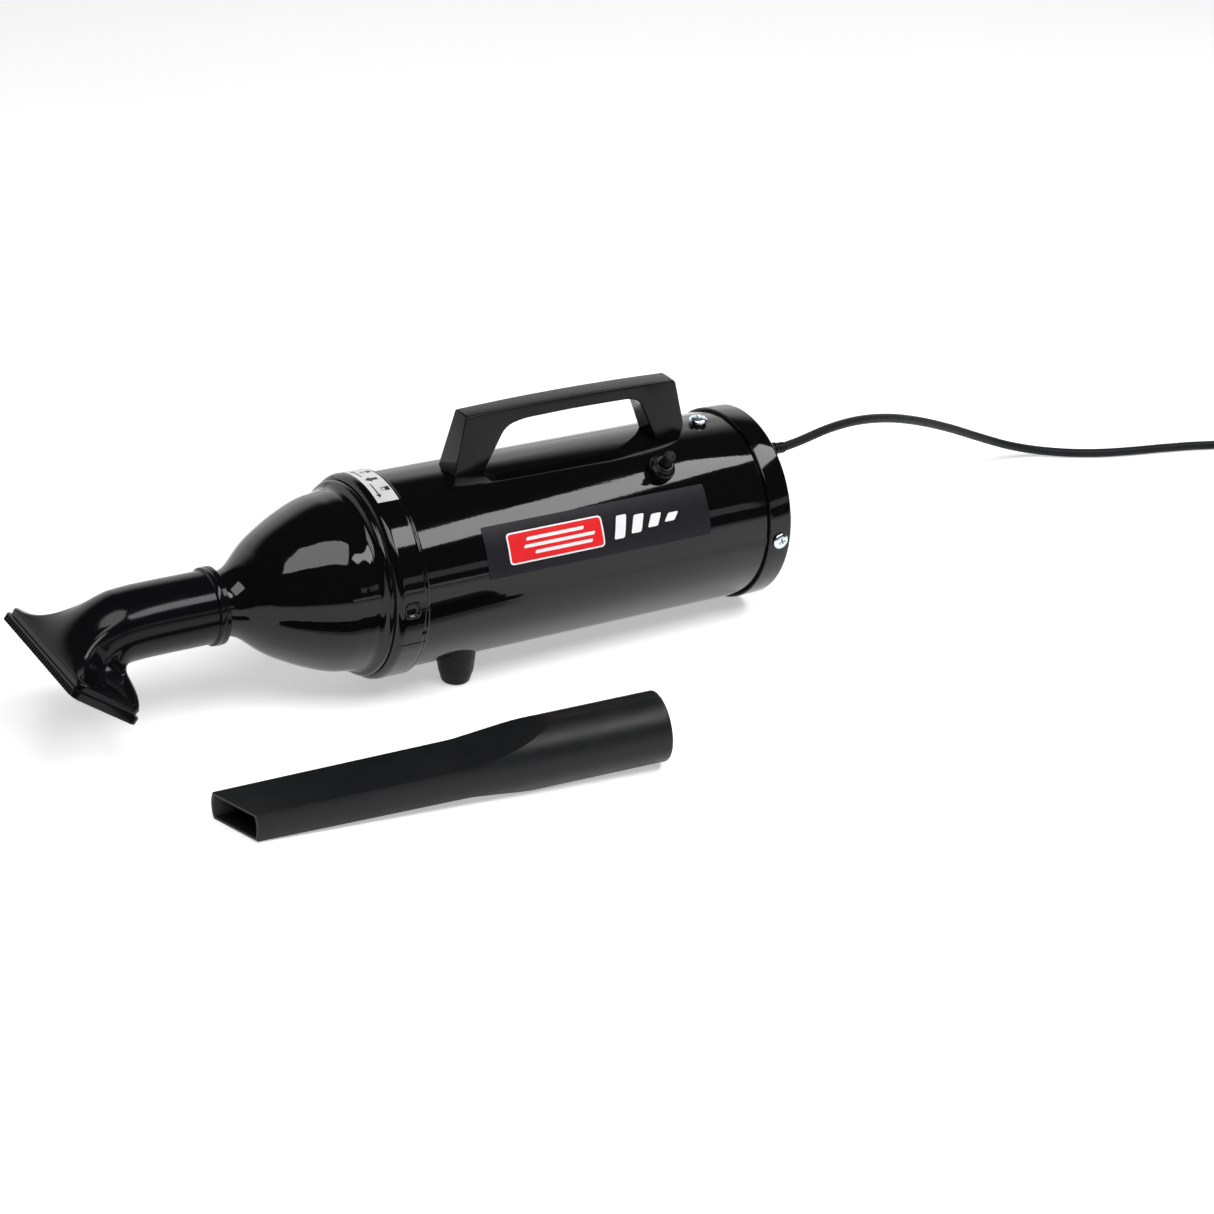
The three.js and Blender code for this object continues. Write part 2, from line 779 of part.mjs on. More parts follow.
const carbonBrush = (side) =>
  block(
    commutatorX - brushHalf[0],
    commutatorX + brushHalf[0],
    ...(side < 0 ? [-brushEnd, -commutatorRadius - 0.4] : [commutatorRadius + 0.4, brushEnd]),
    -brushHalf[1],
    brushHalf[1],
  );

function brushSpring(side) {
  const turns = 3.5;
  const radius = 2.2;
  const [from, to] = [brushEnd + 0.9, holderEnd - 2.1];
  class Helix extends THREE.Curve {
    getPoint(t, out = new THREE.Vector3()) {
      const angle = 2 * Math.PI * turns * t;
      const along = side * (from + (to - from) * t);
      return out.set(commutatorX + radius * Math.cos(angle), along, radius * Math.sin(angle));
    }
  }
  return bar(new Helix(), 0.45, 4, 28);
}

// ---- Pick-up nozzle: a tube that turns down and spreads into a wide mouth ----
const nozzleRear = neckFront + 21;
const nozzleStations = [
  // x and z of the middle, turn in degrees, half width, half depth, corner
  [nozzleRear, 0, 0, nozzleTube, nozzleTube, nozzleTube],
  [nozzleRear - 37, 0, 0, nozzleTube, nozzleTube, nozzleTube],
  [nozzleRear - 52, -1, 12, nozzleTube, nozzleTube, nozzleTube],
  [nozzleRear - 63, -4.6, 29, nozzleTube * 1.14, nozzleTube * 0.97, nozzleTube * 0.9],
  [nozzleRear - 67.5, -7, 37, nozzleTube * 1.36, nozzleTube * 0.98, nozzleTube * 0.7],
  [nozzleRear - 71.5, -10, 45, nozzleTube * 1.7, nozzleTube, nozzleTube * 0.45],
];
const mouthMiddle = new THREE.Vector3(nozzleRear - 77.4, 0, -19.7);
const mouthUp = new THREE.Vector3(Math.cos(degrees(mouthTurn)), 0, Math.sin(degrees(mouthTurn)));

function nozzleRings(shrink, overrun) {
  const ringAt = (middle, turn, halfWidth, halfDepth, corner) => {
    const down = new THREE.Vector3(Math.sin(degrees(turn)), 0, -Math.cos(degrees(turn)));
    const ring = roundedRing(halfWidth - shrink, halfDepth - shrink, Math.max(1, corner - shrink), 5);
    return ring.map(([w, d]) => middle.clone().addScaledVector(down, d).add(new THREE.Vector3(0, w, 0)));
  };
  const duct = nozzleStations.map(([x, z, turn, w, d, corner], k) => {
    const middle = new THREE.Vector3(x, 0, z);
    if (k === nozzleStations.length - 1) middle.addScaledVector(mouthUp, -shrink);
    return ringAt(middle, turn, w, d, corner);
  });
  const tubeEnd = new THREE.Vector3(nozzleRear + overrun, 0, 0);
  if (overrun) duct.unshift(ringAt(tubeEnd, 0, nozzleTube, nozzleTube, nozzleTube));
  const head = (height, inset, corner) =>
    ringAt(
      mouthMiddle.clone().addScaledVector(mouthUp, height),
      mouthTurn,
      mouthWidth / 2 - inset,
      mouthDepth / 2 - inset,
      corner,
    );
  return [
    ...duct,
    head(flangeHeight - shrink, lipStep, 5),
    head(lipHeight, lipStep, 4),
    ...(shrink ? [head(-overrun, lipStep, 4)] : [head(lipHeight - 0.4, 0, 4), head(0, 0, 4)]),
  ];
}

function pickupNozzle() {
  const bead = turned([
    [nozzleRear - 5.4, nozzleTube - 1],
    [nozzleRear - 5, nozzleTube + 1.4],
    [nozzleRear - 0.4, nozzleTube + 1.4],
    [nozzleRear, nozzleTube + 1],
    [nozzleRear, nozzleTube - 1],
  ], 24);
  return cut(join(loft(nozzleRings(0, 0)), bead), loft(nozzleRings(nozzleWall, 3)));
}

// ---- Crevice tool: socket, scooped change of section, flat blade with a slanting mouth ----
function creviceTool() {
  const scoopFrom = 74;
  const scoopTo = 108;
  const [bladeHalf, bladeDeep] = [bladeWidth / 2, bladeThickness / 2];
  const rings = (shrink, overrun) => {
    const ring = (along, w, d, corner) => {
      const lowest = along * toolSlope - toolSocket + shrink; // the underside is flat where it lies on the floor
      const outline = roundedRing(w - shrink, d - shrink, Math.max(1, corner - shrink), 5);
      return outline.map(([y, z]) => new THREE.Vector3(-along, y, Math.max(z, lowest)));
    };
    const scoop = repeat(5, (k) => {
      const t = (k + 1) / 6;
      const ease = t * t * (3 - 2 * t);
      const depth = toolSocket + (bladeDeep - toolSocket) * ease;
      const width = toolSocket + (bladeHalf + 1.6 - toolSocket) * ease;
      return ring(scoopFrom + (scoopTo - scoopFrom) * t, width, depth, Math.min(depth, 18 - 13 * ease));
    });
    return [
      ring(-overrun, toolSocket, toolSocket, toolSocket),
      ring(scoopFrom, toolSocket - 0.4, toolSocket - 0.4, toolSocket - 0.4),
      ...scoop,
      ring(scoopTo, bladeHalf + 1.6, bladeDeep + 0.3, 4.5),
      ring(toolLength + overrun, bladeHalf, bladeDeep, 4),
    ];
  };
  const slant = Math.atan2(mitreDepth, bladeWidth);
  const trim = block(-60, 0, -60, 60, -30, 30)
    .rotateZ(slant)
    .translate(-toolLength + mitreDepth / 2, 0, 0);
  return cut(loft(rings(0, 0)), loft(rings(toolWall, 3)), trim);
}

const sticker = (from, to, radius, x0, x1) =>
  sector(from, to, radius + filmGap, radius + filmGap + film, x0, x1, 3);

// ---- Build the vacuum ----
add(vacuum, "housing_tube", housingTube(), enamel);
add(vacuum, "rear_cap", rearCap(), enamel);
add(vacuum, "cap_screw_near", screw(capRadius + gap, capScrewHead, 2.2, screwShank, 6, capScrewX, 90), zinc);
add(vacuum, "cap_screw_far", screw(capRadius + gap, capScrewHead, 2.2, screwShank, 6, capScrewX, 270), zinc);
add(vacuum, "top_screw", screw(bodyRadius + gap, topScrewHead, 3.2, screwShank, 6, topScrewX, 0), zinc);
add(vacuum, "handle", handle(), glossPlastic);
for (const [name, x] of [["front", handleScrewXs[0]], ["rear", handleScrewXs[1]]])
  add(
    vacuum,
    "handle_screw_" + name,
    screw(-(bodyRadius - bodyWall - gap - 0.1), 4, 2.4, screwShank, 12, -x, 0, false).rotateY(Math.PI),
    zinc,
  );
for (const [name, side] of [["near", -1], ["far", 1]]) {
  add(vacuum, "foot_" + name, foot(side), rubber);
  add(vacuum, "foot_screw_" + name, footScrew(side), zinc);
}
add(vacuum, "switch_body", switchBody(), satinPlastic);
add(vacuum, "switch_nut", switchNut(), rubber);
add(vacuum, "switch_plunger", switchPlunger(), rubber);
add(vacuum, "body_decal", sticker(46.8, 77, bodyRadius, 36.2, 170), decalFilm);

add(vacuum, "nose_dome", noseDome(), enamel);
add(vacuum, "lock_ring", lockRing(), enamel);
add(vacuum, "lock_label", sticker(-21, 21, ringRadius, 1.9 - ringBand, -0.4), labelFilm);
add(vacuum, "nose_gasket", noseGasket(), rubber);
add(vacuum, "bag_collar", bagCollar(), whitePlastic);
add(vacuum, "dust_bag", dustBag(), bagPaper);
add(vacuum, "pickup_nozzle", pickupNozzle(), glossPlastic);

add(vacuum, "inlet_guard", inletGuard(), steel);
add(vacuum, "fan_shroud", fanShroud(), aluminium);
add(vacuum, "fan_first", fan(firstFan), aluminium);
add(vacuum, "diffuser", diffuser(), aluminium);
add(vacuum, "fan_second", fan(secondFan), aluminium);
add(vacuum, "fan_nut", fanNut(), steel);
add(vacuum, "fan_spacer", fanSpacer(), steel);
add(vacuum, "motor_shaft", motorShaft(), steel);
add(vacuum, "bracket_front", bracket(motorStart, motorStart + bearingWidth + 3), aluminium);
add(vacuum, "bracket_rear", bracket(motorEnd - 2.4, motorEnd - bearingWidth - 3), aluminium);
add(vacuum, "bearing_front", bearing(frontBearingX), steel);
add(vacuum, "bearing_rear", bearing(rearBearingX), steel);
add(vacuum, "mount_ring_front", mountRing(motorStart), rubber);
add(vacuum, "mount_ring_rear", mountRing(motorEnd - 5), rubber);
boltAngles.forEach((angle, k) => add(vacuum, "motor_bolt_" + "ab"[k], motorBolt(angle), steel));
add(vacuum, "stator_core", statorCore(), lamination);
add(vacuum, "field_coil_top", fieldCoil(0), copper);
add(vacuum, "field_coil_bottom", fieldCoil(180), copper);
add(vacuum, "armature_core", armatureCore(), lamination);
add(vacuum, "armature_windings", armatureWindings(), copper);
add(vacuum, "commutator", commutator(), copper);
for (const [name, side] of [["near", -1], ["far", 1]]) {
  add(vacuum, "brush_holder_" + name, brushHolder(side), brass);
  add(vacuum, "carbon_brush_" + name, carbonBrush(side), carbon);
  add(vacuum, "brush_spring_" + name, brushSpring(side), steel);
}

// The housing stands on its two feet and the rear cap's rim, so its axis dips to the rear.
vacuum.rotation.y = restPitch;
vacuum.position.z = footX * Math.sin(restPitch) + footReach * Math.cos(restPitch);
vacuum.updateMatrixWorld(true);

// ---- Crevice tool, lying in front of the vacuum on its socket and the tip of its blade ----
const toolMouth = new THREE.Vector2(84.5, -137.6);
const toolYaw = -8.7;
const toolPitch = Math.atan(toolSlope);
const tool = add(loose, "crevice_tool", creviceTool(), satinPlastic);
tool.rotation.order = "ZYX";
tool.rotation.set(0, -toolPitch, degrees(toolYaw));
tool.position.set(toolMouth.x, toolMouth.y, toolSocket * Math.cos(toolPitch));

// ---- Mains lead ----
const cordRadius = cordDiameter / 2;
const reliefStart = capRear - capWall - 2;
const reliefEnd = new THREE.Vector3(capRear + reliefLength, 0, cordExitHeight);
const exit = reliefEnd.clone().setX(reliefEnd.x + gap).applyMatrix4(vacuum.matrixWorld);
const coilCentre = new THREE.Vector2(627, -34.8);
const coilTop = (coilLayers - 1) * coilPitch + cordDiameter;

// The stretch from the strain relief to the coil, and the one from the coil to the plug, chosen by hand.
const leadPoints = [
  [exit.x, exit.y, exit.z],
  [263, 2.6, 77.6],
  [288, 8.5, 78],
  [314, 16, 74.4],
  [344, 26, 65.6],
  [376, 37, 52.6],
  [408, 47, 37.6],
  [438, 54.5, 22.6],
  [465, 57.5, 10.4],
  [486, 54.5, 4.2],
  [504, 45.5, 2.7],
  [522, 37, 2.65],
  [541, 31, 2.65],
  [561, 26, 2.65],
  [581, 20.4, 2.65],
  [596, 15.2, 2.65],
  [609, 12.2, 2.65],
];
const tailPoints = [
  [649, -9.5, 19],
  [656.5, -18, 19],
  [660.8, -28, 19.6],
  [659, -38, 21],
  [653.6, -45.2, 22.5],
  [646.5, -48.9, 23],
];

const alongPoints = (points) => {
  const places = points.map((p) => new THREE.Vector3(...p));
  return new THREE.CatmullRomCurve3(places, false, "centripetal");
};

function strainRelief() {
  const wallInside = capRear - capWall - gap;
  const wallOutside = capRear + gap;
  const end = capRear + reliefLength;
  const profile = [
    [reliefStart, cordRadius + gap],
    [reliefStart, reliefNeck + 1.6],
    [wallInside, reliefNeck + 1.6],
    [wallInside, reliefNeck],
    [wallOutside, reliefNeck],
    [wallOutside, reliefNeck + 1.4],
    [wallOutside + 4, reliefNeck + 1.4],
    [end, cordRadius + 0.9],
    [end, cordRadius + gap],
  ];
  return turned(profile, 16).translate(0, 0, cordExitHeight);
}

function cordCoil() {
  const half = ((coilColumns - 1) * coilPitch + cordDiameter) / 2;
  const chamfer = cordRadius * 0.6;
  const [inner, outer, low] = [coilRadius - half, coilRadius + half, 0.02];
  const profile = [
    [inner + chamfer, low],
    [outer - chamfer, low],
    [outer, low + chamfer],
    [outer, coilTop - chamfer],
    [outer - chamfer, coilTop],
    [inner + chamfer, coilTop],
    [inner, coilTop - chamfer],
    [inner, low + chamfer],
    [inner + chamfer, low],
  ];
  return new THREE.LatheGeometry(
    profile.map(([r, z]) => new THREE.Vector2(r, z)),
    medium,
  )
    .rotateX(Math.PI / 2)
    .translate(coilCentre.x, coilCentre.y, 0);
}

// The plug: a moulded body with a finger waist, a tapered neck round the cord and two flat blades.
const plugNeck = 12;

function plugBody() {
  const { length, width, height } = plugSize;
  const collar = cordDiameter + 3;
  const station = (along, w, h) =>
    roundedRing(w / 2, h / 2, h / 3, 4).map(([y, z]) => new THREE.Vector3(along, y, z));
  const body = loft([
    station(-plugNeck, collar, collar),
    station(0, collar + 2, collar + 1.5),
    station(length * 0.2, width * 0.7, height * 0.86),
    station(length * 0.55, width * 0.84, height * 0.9),
    station(length * 0.87, width, height),
    station(length, width, height),
  ]);
  return cut(body, disc(-plugNeck - 2, -plugNeck / 2, cordRadius + gap, 10));
}

const plugBlade = (side) => {
  const [spread, reach] = [6.35, 17];
  const from = plugSize.length + gap;
  return block(from, from + reach, side * spread - 0.75, side * spread + 0.75, -3.15, 3.15);
};

add(lead, "strain_relief", strainRelief(), rubber).applyMatrix4(vacuum.matrixWorld);
add(lead, "cord_lead", bar(alongPoints(leadPoints), cordRadius, 8, 42), rubber);
add(lead, "cord_coil", cordCoil(), rubber);
add(lead, "cord_tail", bar(alongPoints(tailPoints), cordRadius, 8, 6), rubber);

// The plug lies across the coil, straight on from the end of the tail.
const plug = new THREE.Group();
add(plug, "plug_body", plugBody(), rubber);
add(plug, "plug_blade_left", plugBlade(-1), brass);
add(plug, "plug_blade_right", plugBlade(1), brass);
const plugYaw = degrees(200);
const [tailX, tailY] = tailPoints.at(-1);
const plugReach = plugNeck + gap;
plug.position.set(
  tailX + plugReach * Math.cos(plugYaw),
  tailY + plugReach * Math.sin(plugYaw),
  coilTop + plugSize.height / 2 + gap,
);
plug.rotation.z = plugYaw;
lead.add(plug);

// ---- The whole: origin on the floor under the middle of everything but the lead ----
const handVacuum = new THREE.Group();
handVacuum.add(vacuum, loose, lead);
handVacuum.updateMatrixWorld(true);
const stand = new THREE.Box3();
for (const group of [vacuum, loose]) stand.union(new THREE.Box3().setFromObject(group, true));
handVacuum.position.set(-(stand.min.x + stand.max.x) / 2, -(stand.min.y + stand.max.y) / 2, -stand.min.z);

export default handVacuum;
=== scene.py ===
import json
import math

import bmesh
import bpy
from mathutils import Matrix, Quaternion, Vector


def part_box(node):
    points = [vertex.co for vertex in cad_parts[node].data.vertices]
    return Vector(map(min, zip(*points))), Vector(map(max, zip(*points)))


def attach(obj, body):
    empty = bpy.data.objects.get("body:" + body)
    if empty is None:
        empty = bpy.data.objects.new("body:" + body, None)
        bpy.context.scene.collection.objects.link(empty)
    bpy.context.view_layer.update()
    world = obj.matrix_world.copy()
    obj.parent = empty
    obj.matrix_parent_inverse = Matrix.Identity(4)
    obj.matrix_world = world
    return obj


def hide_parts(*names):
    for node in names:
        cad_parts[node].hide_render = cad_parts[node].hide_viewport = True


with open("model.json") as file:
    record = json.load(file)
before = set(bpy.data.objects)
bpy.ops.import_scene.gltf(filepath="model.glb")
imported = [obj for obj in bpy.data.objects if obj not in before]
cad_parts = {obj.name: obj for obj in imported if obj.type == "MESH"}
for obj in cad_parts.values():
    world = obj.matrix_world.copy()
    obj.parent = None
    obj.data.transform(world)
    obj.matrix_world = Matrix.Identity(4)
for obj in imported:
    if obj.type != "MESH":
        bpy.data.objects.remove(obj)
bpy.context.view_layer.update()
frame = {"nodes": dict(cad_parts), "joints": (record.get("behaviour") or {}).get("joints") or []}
scene = bpy.context.scene
spin = next(j for j in frame["joints"] if j["name"] == "motor_spin")
axis = Vector(spin["axis"]).normalized()
start = Vector(spin["pos_m"])
sideways = Vector((0, 1, 0))
millimetre = Matrix.Scale(0.001, 4)
axes = Matrix((axis, sideways, axis.cross(sideways))).transposed().to_4x4()
housing = Matrix.Translation(start) @ axes @ millimetre  # from millimetres along the housing's axis
bench = Matrix.Translation((start.x, start.y, 0)) @ millimetre  # from millimetres above the bench


# Camera

view = {"place": (-644.9, -1099.5, 752.4), "aim": (38.4, -75.5, 85.6), "roll": 3.75, "lens": 86.09}


def linked(name, data):
    piece = bpy.data.objects.new(name, data)
    scene.collection.objects.link(piece)
    return piece


def aimed(place, aim, roll=0.0):  # at a place in metres, looking at another
    turn = (Vector(aim) - Vector(place)).to_track_quat("-Z", "Y") @ Quaternion((0, 0, 1), math.radians(roll))
    return Matrix.Translation(place) @ turn.to_matrix().to_4x4()


def placeCamera():
    data = bpy.data.cameras.new("camera")
    data.lens, data.sensor_width = view["lens"], 36
    data.clip_end = 50
    scene.camera = linked("camera", data)
    scene.camera.matrix_world = aimed(Vector(view["place"]) / 1000, Vector(view["aim"]) / 1000, view["roll"])


placeCamera()
print("camera placed")


# Finishes

def addNode(tree, kind, **settings):  # a setting goes to the input of that name, or else to the node itself
    made = tree.nodes.new(kind)
    for key, value in settings.items():
        socket = made.inputs.get(key.replace("_", " ").title())
        if socket is not None:
            socket.default_value = value
        else:
            setattr(made, key, value)
    return made


class Finish:  # a material and short ways to wire it
    def __init__(self, name, color, roughness, metallic=0.0, **sockets):
        self.material = bpy.data.materials.new(name)
        self.material.use_nodes = True
        self.tree = self.material.node_tree
        self.shader = self.tree.nodes["Principled BSDF"]
        self.shader.inputs["Base Color"].default_value = (*color, 1)
        self.shader.inputs["Roughness"].default_value = roughness
        self.shader.inputs["Metallic"].default_value = metallic
        for name, value in sockets.items():
            self.shader.inputs[name.replace("_", " ").title().replace("Ior", "IOR")].default_value = value

    def link(self, source, target):
        self.tree.links.new(source, target)

    def pattern(self, kind, stretch=(1, 1, 1), **settings):
        made = addNode(self.tree, kind, **settings)
        mapping = addNode(self.tree, "ShaderNodeMapping", scale=stretch)
        self.link(addNode(self.tree, "ShaderNodeTexCoord").outputs["Object"], mapping.inputs["Vector"])
        self.link(mapping.outputs["Vector"], made.inputs["Vector"])
        return made.outputs["Fac"]

    def noise(self, scale, detail=3.0, stretch=(1, 1, 1)):
        return self.pattern("ShaderNodeTexNoise", stretch, scale=scale, detail=detail)

    def vary(self, pattern, socket, low, high):
        ramp = addNode(self.tree, "ShaderNodeMapRange", from_min=0.3, from_max=0.7, to_min=low, to_max=high)
        self.link(pattern, ramp.inputs["Value"])
        self.link(ramp.outputs["Result"], self.shader.inputs[socket])

    def tint(self, pattern, first, second):
        ramp = addNode(self.tree, "ShaderNodeValToRGB")
        for stop, color, position in zip(ramp.color_ramp.elements, (first, second), (0.3, 0.7)):
            stop.color, stop.position = (*color, 1), position
        self.link(pattern, ramp.inputs["Fac"])
        self.link(ramp.outputs["Color"], self.shader.inputs["Base Color"])

    def relief(self, pattern, depth, strength):
        bump = addNode(self.tree, "ShaderNodeBump", strength=strength, distance=depth)
        self.link(pattern, bump.inputs["Height"])
        self.link(bump.outputs["Normal"], self.shader.inputs["Normal"])


def mixed(name, color, roughness, metallic=0.0, tint=None, vary=None, relief=None, **sockets):
    made = Finish(name, color, roughness, metallic, **sockets)
    if tint:  # each of these starts with its noise
        made.tint(made.noise(*tint[0]), *tint[1:])
    if vary:
        made.vary(made.noise(*vary[0]), "Roughness", *vary[1:])
    if relief:
        made.relief(made.noise(*relief[0]), *relief[1:])
    return made


def rubbery(name, color, roughness):
    return mixed(
        name, color, roughness,
        tint=((120, 4), color, tuple(1.3 * c for c in color)),
        vary=((300, 3), roughness - 0.08, roughness + 0.08),
        relief=((1500, 3), 0.00004, 0.6),
        specular_ior_level=0.15,
    )


def metal(name, color, roughness, scale=500, stretch=(1, 1, 1), worn=0.08):
    return mixed(
        name, color, roughness, 1.0,
        tint=((scale / 4, 4, stretch), tuple(0.86 * c for c in color), color),
        vary=((scale, 4, stretch), roughness - worn, roughness + worn),
        relief=((scale * 2, 2, stretch), 0.00002, 0.5),
    )


def banded(name, color, roughness, dark, light, depth, **bands):
    made = Finish(name, color, roughness, 0.9)
    lines = made.pattern("ShaderNodeTexWave", **bands)
    made.tint(lines, dark, light)
    made.relief(lines, depth, 0.8)
    return made


def printed(name, color, roughness, noise, dark, light, **sockets):
    return mixed(name, color, roughness, tint=(noise, dark, light), **sockets)


enamel = mixed(
    "enamel", (0.0022, 0.0022, 0.0024), 0.05,
    vary=((35, 4), 0.035, 0.075), relief=((420, 2), 0.000035, 0.35), specular_ior_level=0.32,
)
glossPlastic = mixed(
    "glossPlastic", (0.003, 0.0032, 0.0036), 0.13,
    vary=((60, 5), 0.09, 0.16), relief=((260, 3), 0.000025, 0.25), specular_ior_level=0.18,
)
satinPlastic = mixed(
    "satinPlastic", (0.0075, 0.008, 0.0085), 0.4,
    tint=((45, 4), (0.0068, 0.0074, 0.0078), (0.0084, 0.009, 0.0095)),
    vary=((90, 5), 0.34, 0.44), relief=((1500, 2), 0.00006, 0.8), specular_ior_level=0.24,
)
rubber = rubbery("rubber", (0.0035, 0.0035, 0.0038), 0.42)
cordRubber = rubbery("cordRubber", (0.008, 0.0085, 0.0095), 0.5)
carbon = rubbery("carbon", (0.03, 0.03, 0.032), 0.7)
zinc = metal("zinc", (0.68, 0.75, 0.82), 0.2, 260)
steel = metal("steel", (0.52, 0.53, 0.55), 0.32)
aluminium = metal("aluminium", (0.74, 0.75, 0.76), 0.34, 300, (1, 6, 6))
copper = metal("copper", (0.72, 0.35, 0.18), 0.3, 200, (1, 8, 8))
brass = metal("brass", (0.75, 0.58, 0.26), 0.28)
lamination = banded("lamination", (0.3, 0.31, 0.33), 0.45, (0.1, 0.1, 0.11), (0.36, 0.37, 0.4), 0.0002, scale=300)
winding = banded(
    "winding", (0.6, 0.26, 0.12), 0.3, (0.2, 0.06, 0.02), (0.72, 0.33, 0.15), 0.0003,
    scale=210, bands_direction="DIAGONAL", distortion=1.5,
)
bagPaper = printed(
    "bagPaper", (0.62, 0.5, 0.32), 0.9, (220, 6), (0.5, 0.39, 0.24), (0.66, 0.54, 0.36),
    relief=((900, 5), 0.00015, 0.7),
)
whitePlastic = mixed("whitePlastic", (0.7, 0.69, 0.65), 0.45, relief=((700, 3), 0.00003, 0.4))
labelFilm = printed("labelFilm", (0.6, 0.61, 0.6), 0.3, (90, 4), (0.57, 0.58, 0.57), (0.63, 0.64, 0.63))
decalFilm = printed(
    "decalFilm", (0.01, 0.009, 0.0125), 0.42, (160, 5), (0.009, 0.0082, 0.0115), (0.0115, 0.0105, 0.0145),
    relief=((1400, 3), 0.00003, 0.5), specular_ior_level=0.16,
)
redInk = printed(
    "redInk", (0.68, 0.016, 0.02), 0.4, (70, 3), (0.65, 0.014, 0.018), (0.71, 0.019, 0.023),
    specular_ior_level=0.15,
)
whiteInk = printed("whiteInk", (0.78, 0.78, 0.79), 0.4, (110, 4), (0.75, 0.75, 0.76), (0.8, 0.8, 0.81))
blackInk = printed("blackInk", (0.008, 0.008, 0.009), 0.45, (110, 4), (0.006, 0.006, 0.007), (0.012, 0.012, 0.013))
print("finishes mixed")


# Shaping tools

def smoothed(piece, sharp=32):
    piece.data.shade_smooth()
    piece.data.set_sharp_from_angle(angle=math.radians(sharp))
    return piece


def finished(name, mesh, finish, sharp=32):
    shape = bmesh.new()
    shape.from_mesh(mesh)
    bmesh.ops.remove_doubles(shape, verts=shape.verts, dist=2e-7)
    bmesh.ops.dissolve_degenerate(shape, edges=shape.edges, dist=1e-7)
    bmesh.ops.recalc_face_normals(shape, faces=shape.faces)
    shape.to_mesh(mesh)
    shape.free()
    mesh.name = name
    mesh.materials.clear()
    mesh.materials.append(finish.material)
    return smoothed(linked(name, mesh), sharp)


def seat(piece, body, slot, *nodes):  # on its body, in place of the plain solids
    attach(piece, body)
    if nodes:
        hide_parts(*nodes)
    return piece


def eased(outline, steps=4):  # (a, b, fillet) corners of a closed outline, each fillet drawn as a short curve
    points = []
    for k, corner in enumerate(outline):
        here = Vector(corner[:2])
        fillet = corner[2] if len(corner) > 2 else 0
        if not fillet:
            points.append(tuple(here))
            continue
        before, after = Vector(outline[k - 1][:2]) - here, Vector(outline[(k + 1) % len(outline)][:2]) - here
        reach = min(fillet, before.length / 2, after.length / 2)
        first, last = here + before.normalized() * reach, here + after.normalized() * reach
        for i in range(steps + 1):
            t = i / steps
            points.append(tuple(first * (1 - t) ** 2 + here * 2 * t * (1 - t) + last * t**2))
    return points


def curved(knots, steps):  # a smooth line through knots of any dimension
    ends = [knots[0], *knots, knots[-1]]
    points = []
    for a, b, c, d in zip(ends, ends[1:], ends[2:], ends[3:]):
        for i in range(steps):
            t = i / steps
            weights = (
                -0.5 * t + t**2 - 0.5 * t**3,
                1 - 2.5 * t**2 + 1.5 * t**3,
                0.5 * t + 2 * t**2 - 1.5 * t**3,
                -0.5 * t**2 + 0.5 * t**3,
            )
            points.append(tuple(sum(w * p[n] for w, p in zip(weights, (a, b, c, d))) for n in range(len(b))))
    return points + [tuple(knots[-1])]


def lofted(name, rings, finish, place=housing, sharp=32, hollow=True):  # a hollow one joins its last ring to its first
    n, points, faces = len(rings[0]), [p for ring in rings for p in ring], []
    for i in range(len(rings) if hollow else len(rings) - 1):
        a, b = i * n, (i + 1) % len(rings) * n
        faces += [(a + k, a + (k + 1) % n, b + (k + 1) % n, b + k) for k in range(n)]
    if not hollow:
        faces += [tuple(range(n)), tuple(range(len(points) - n, len(points)))]
    mesh = bpy.data.meshes.new(name)
    mesh.from_pydata([place @ Vector(p) for p in points], [], faces)
    return finished(name, mesh, finish, sharp)


def around(outline, angle):  # (x, radius) points turned to one angle about x
    return [(x, -r * math.sin(angle), r * math.cos(angle)) for x, r in outline]


def spun(name, outline, finish, sides=192, place=housing, sharp=32, shift=None):  # (x, radius) turned about x
    angles = [2 * math.pi * k / sides for k in range(sides)] if isinstance(sides, int) else sides
    rings = []
    for a in angles:
        line = [shift(x, r, math.degrees(a)) for x, r in outline] if shift else outline
        rings.append(around(line, a))
    return lofted(name, rings, finish, place, sharp)


def standing(name, outline, finish, x, angle, sides=48, sharp=32):  # (height, radius) turned about a radius
    place = housing @ Matrix.Rotation(math.radians(angle), 4, "X") @ Matrix.Translation((x, 0, 0))
    return spun(name, outline, finish, sides, place @ Matrix.Rotation(-math.pi / 2, 4, "Y"), sharp)


def drill(low, high, radius):  # the outline of a plain rod, for a hole
    return [(low, 0), (low, radius), (high, radius), (high, 0)]


def wrapped(name, outlines, radius, thickness, finish, step=1.0):  # flat shapes of (degrees, x) laid round the housing
    shape = bmesh.new()
    for outline in outlines:
        corners = [shape.verts.new((math.radians(a) * radius, x, 0)) for a, x in outline]
        shape.faces.new(corners)
    low = min(v.co.x for v in shape.verts)
    high = max(v.co.x for v in shape.verts)
    for k in range(1, math.ceil((high - low) / step)):
        parts = shape.verts[:] + shape.edges[:] + shape.faces[:]
        bmesh.ops.bisect_plane(shape, geom=parts, plane_co=(low + k * step, 0, 0), plane_no=(1, 0, 0))
    raised = bmesh.ops.extrude_face_region(shape, geom=shape.faces[:], use_keep_orig=True)
    for vert in (v for v in raised["geom"] if isinstance(v, bmesh.types.BMVert)):
        vert.co.z = thickness
    for vert in shape.verts:
        angle, r = vert.co.x / radius, radius + vert.co.z
        vert.co = housing @ Vector((vert.co.y, -r * math.sin(angle), r * math.cos(angle)))
    mesh = bpy.data.meshes.new(name)
    shape.to_mesh(mesh)
    shape.free()
    return finished(name, mesh, finish)


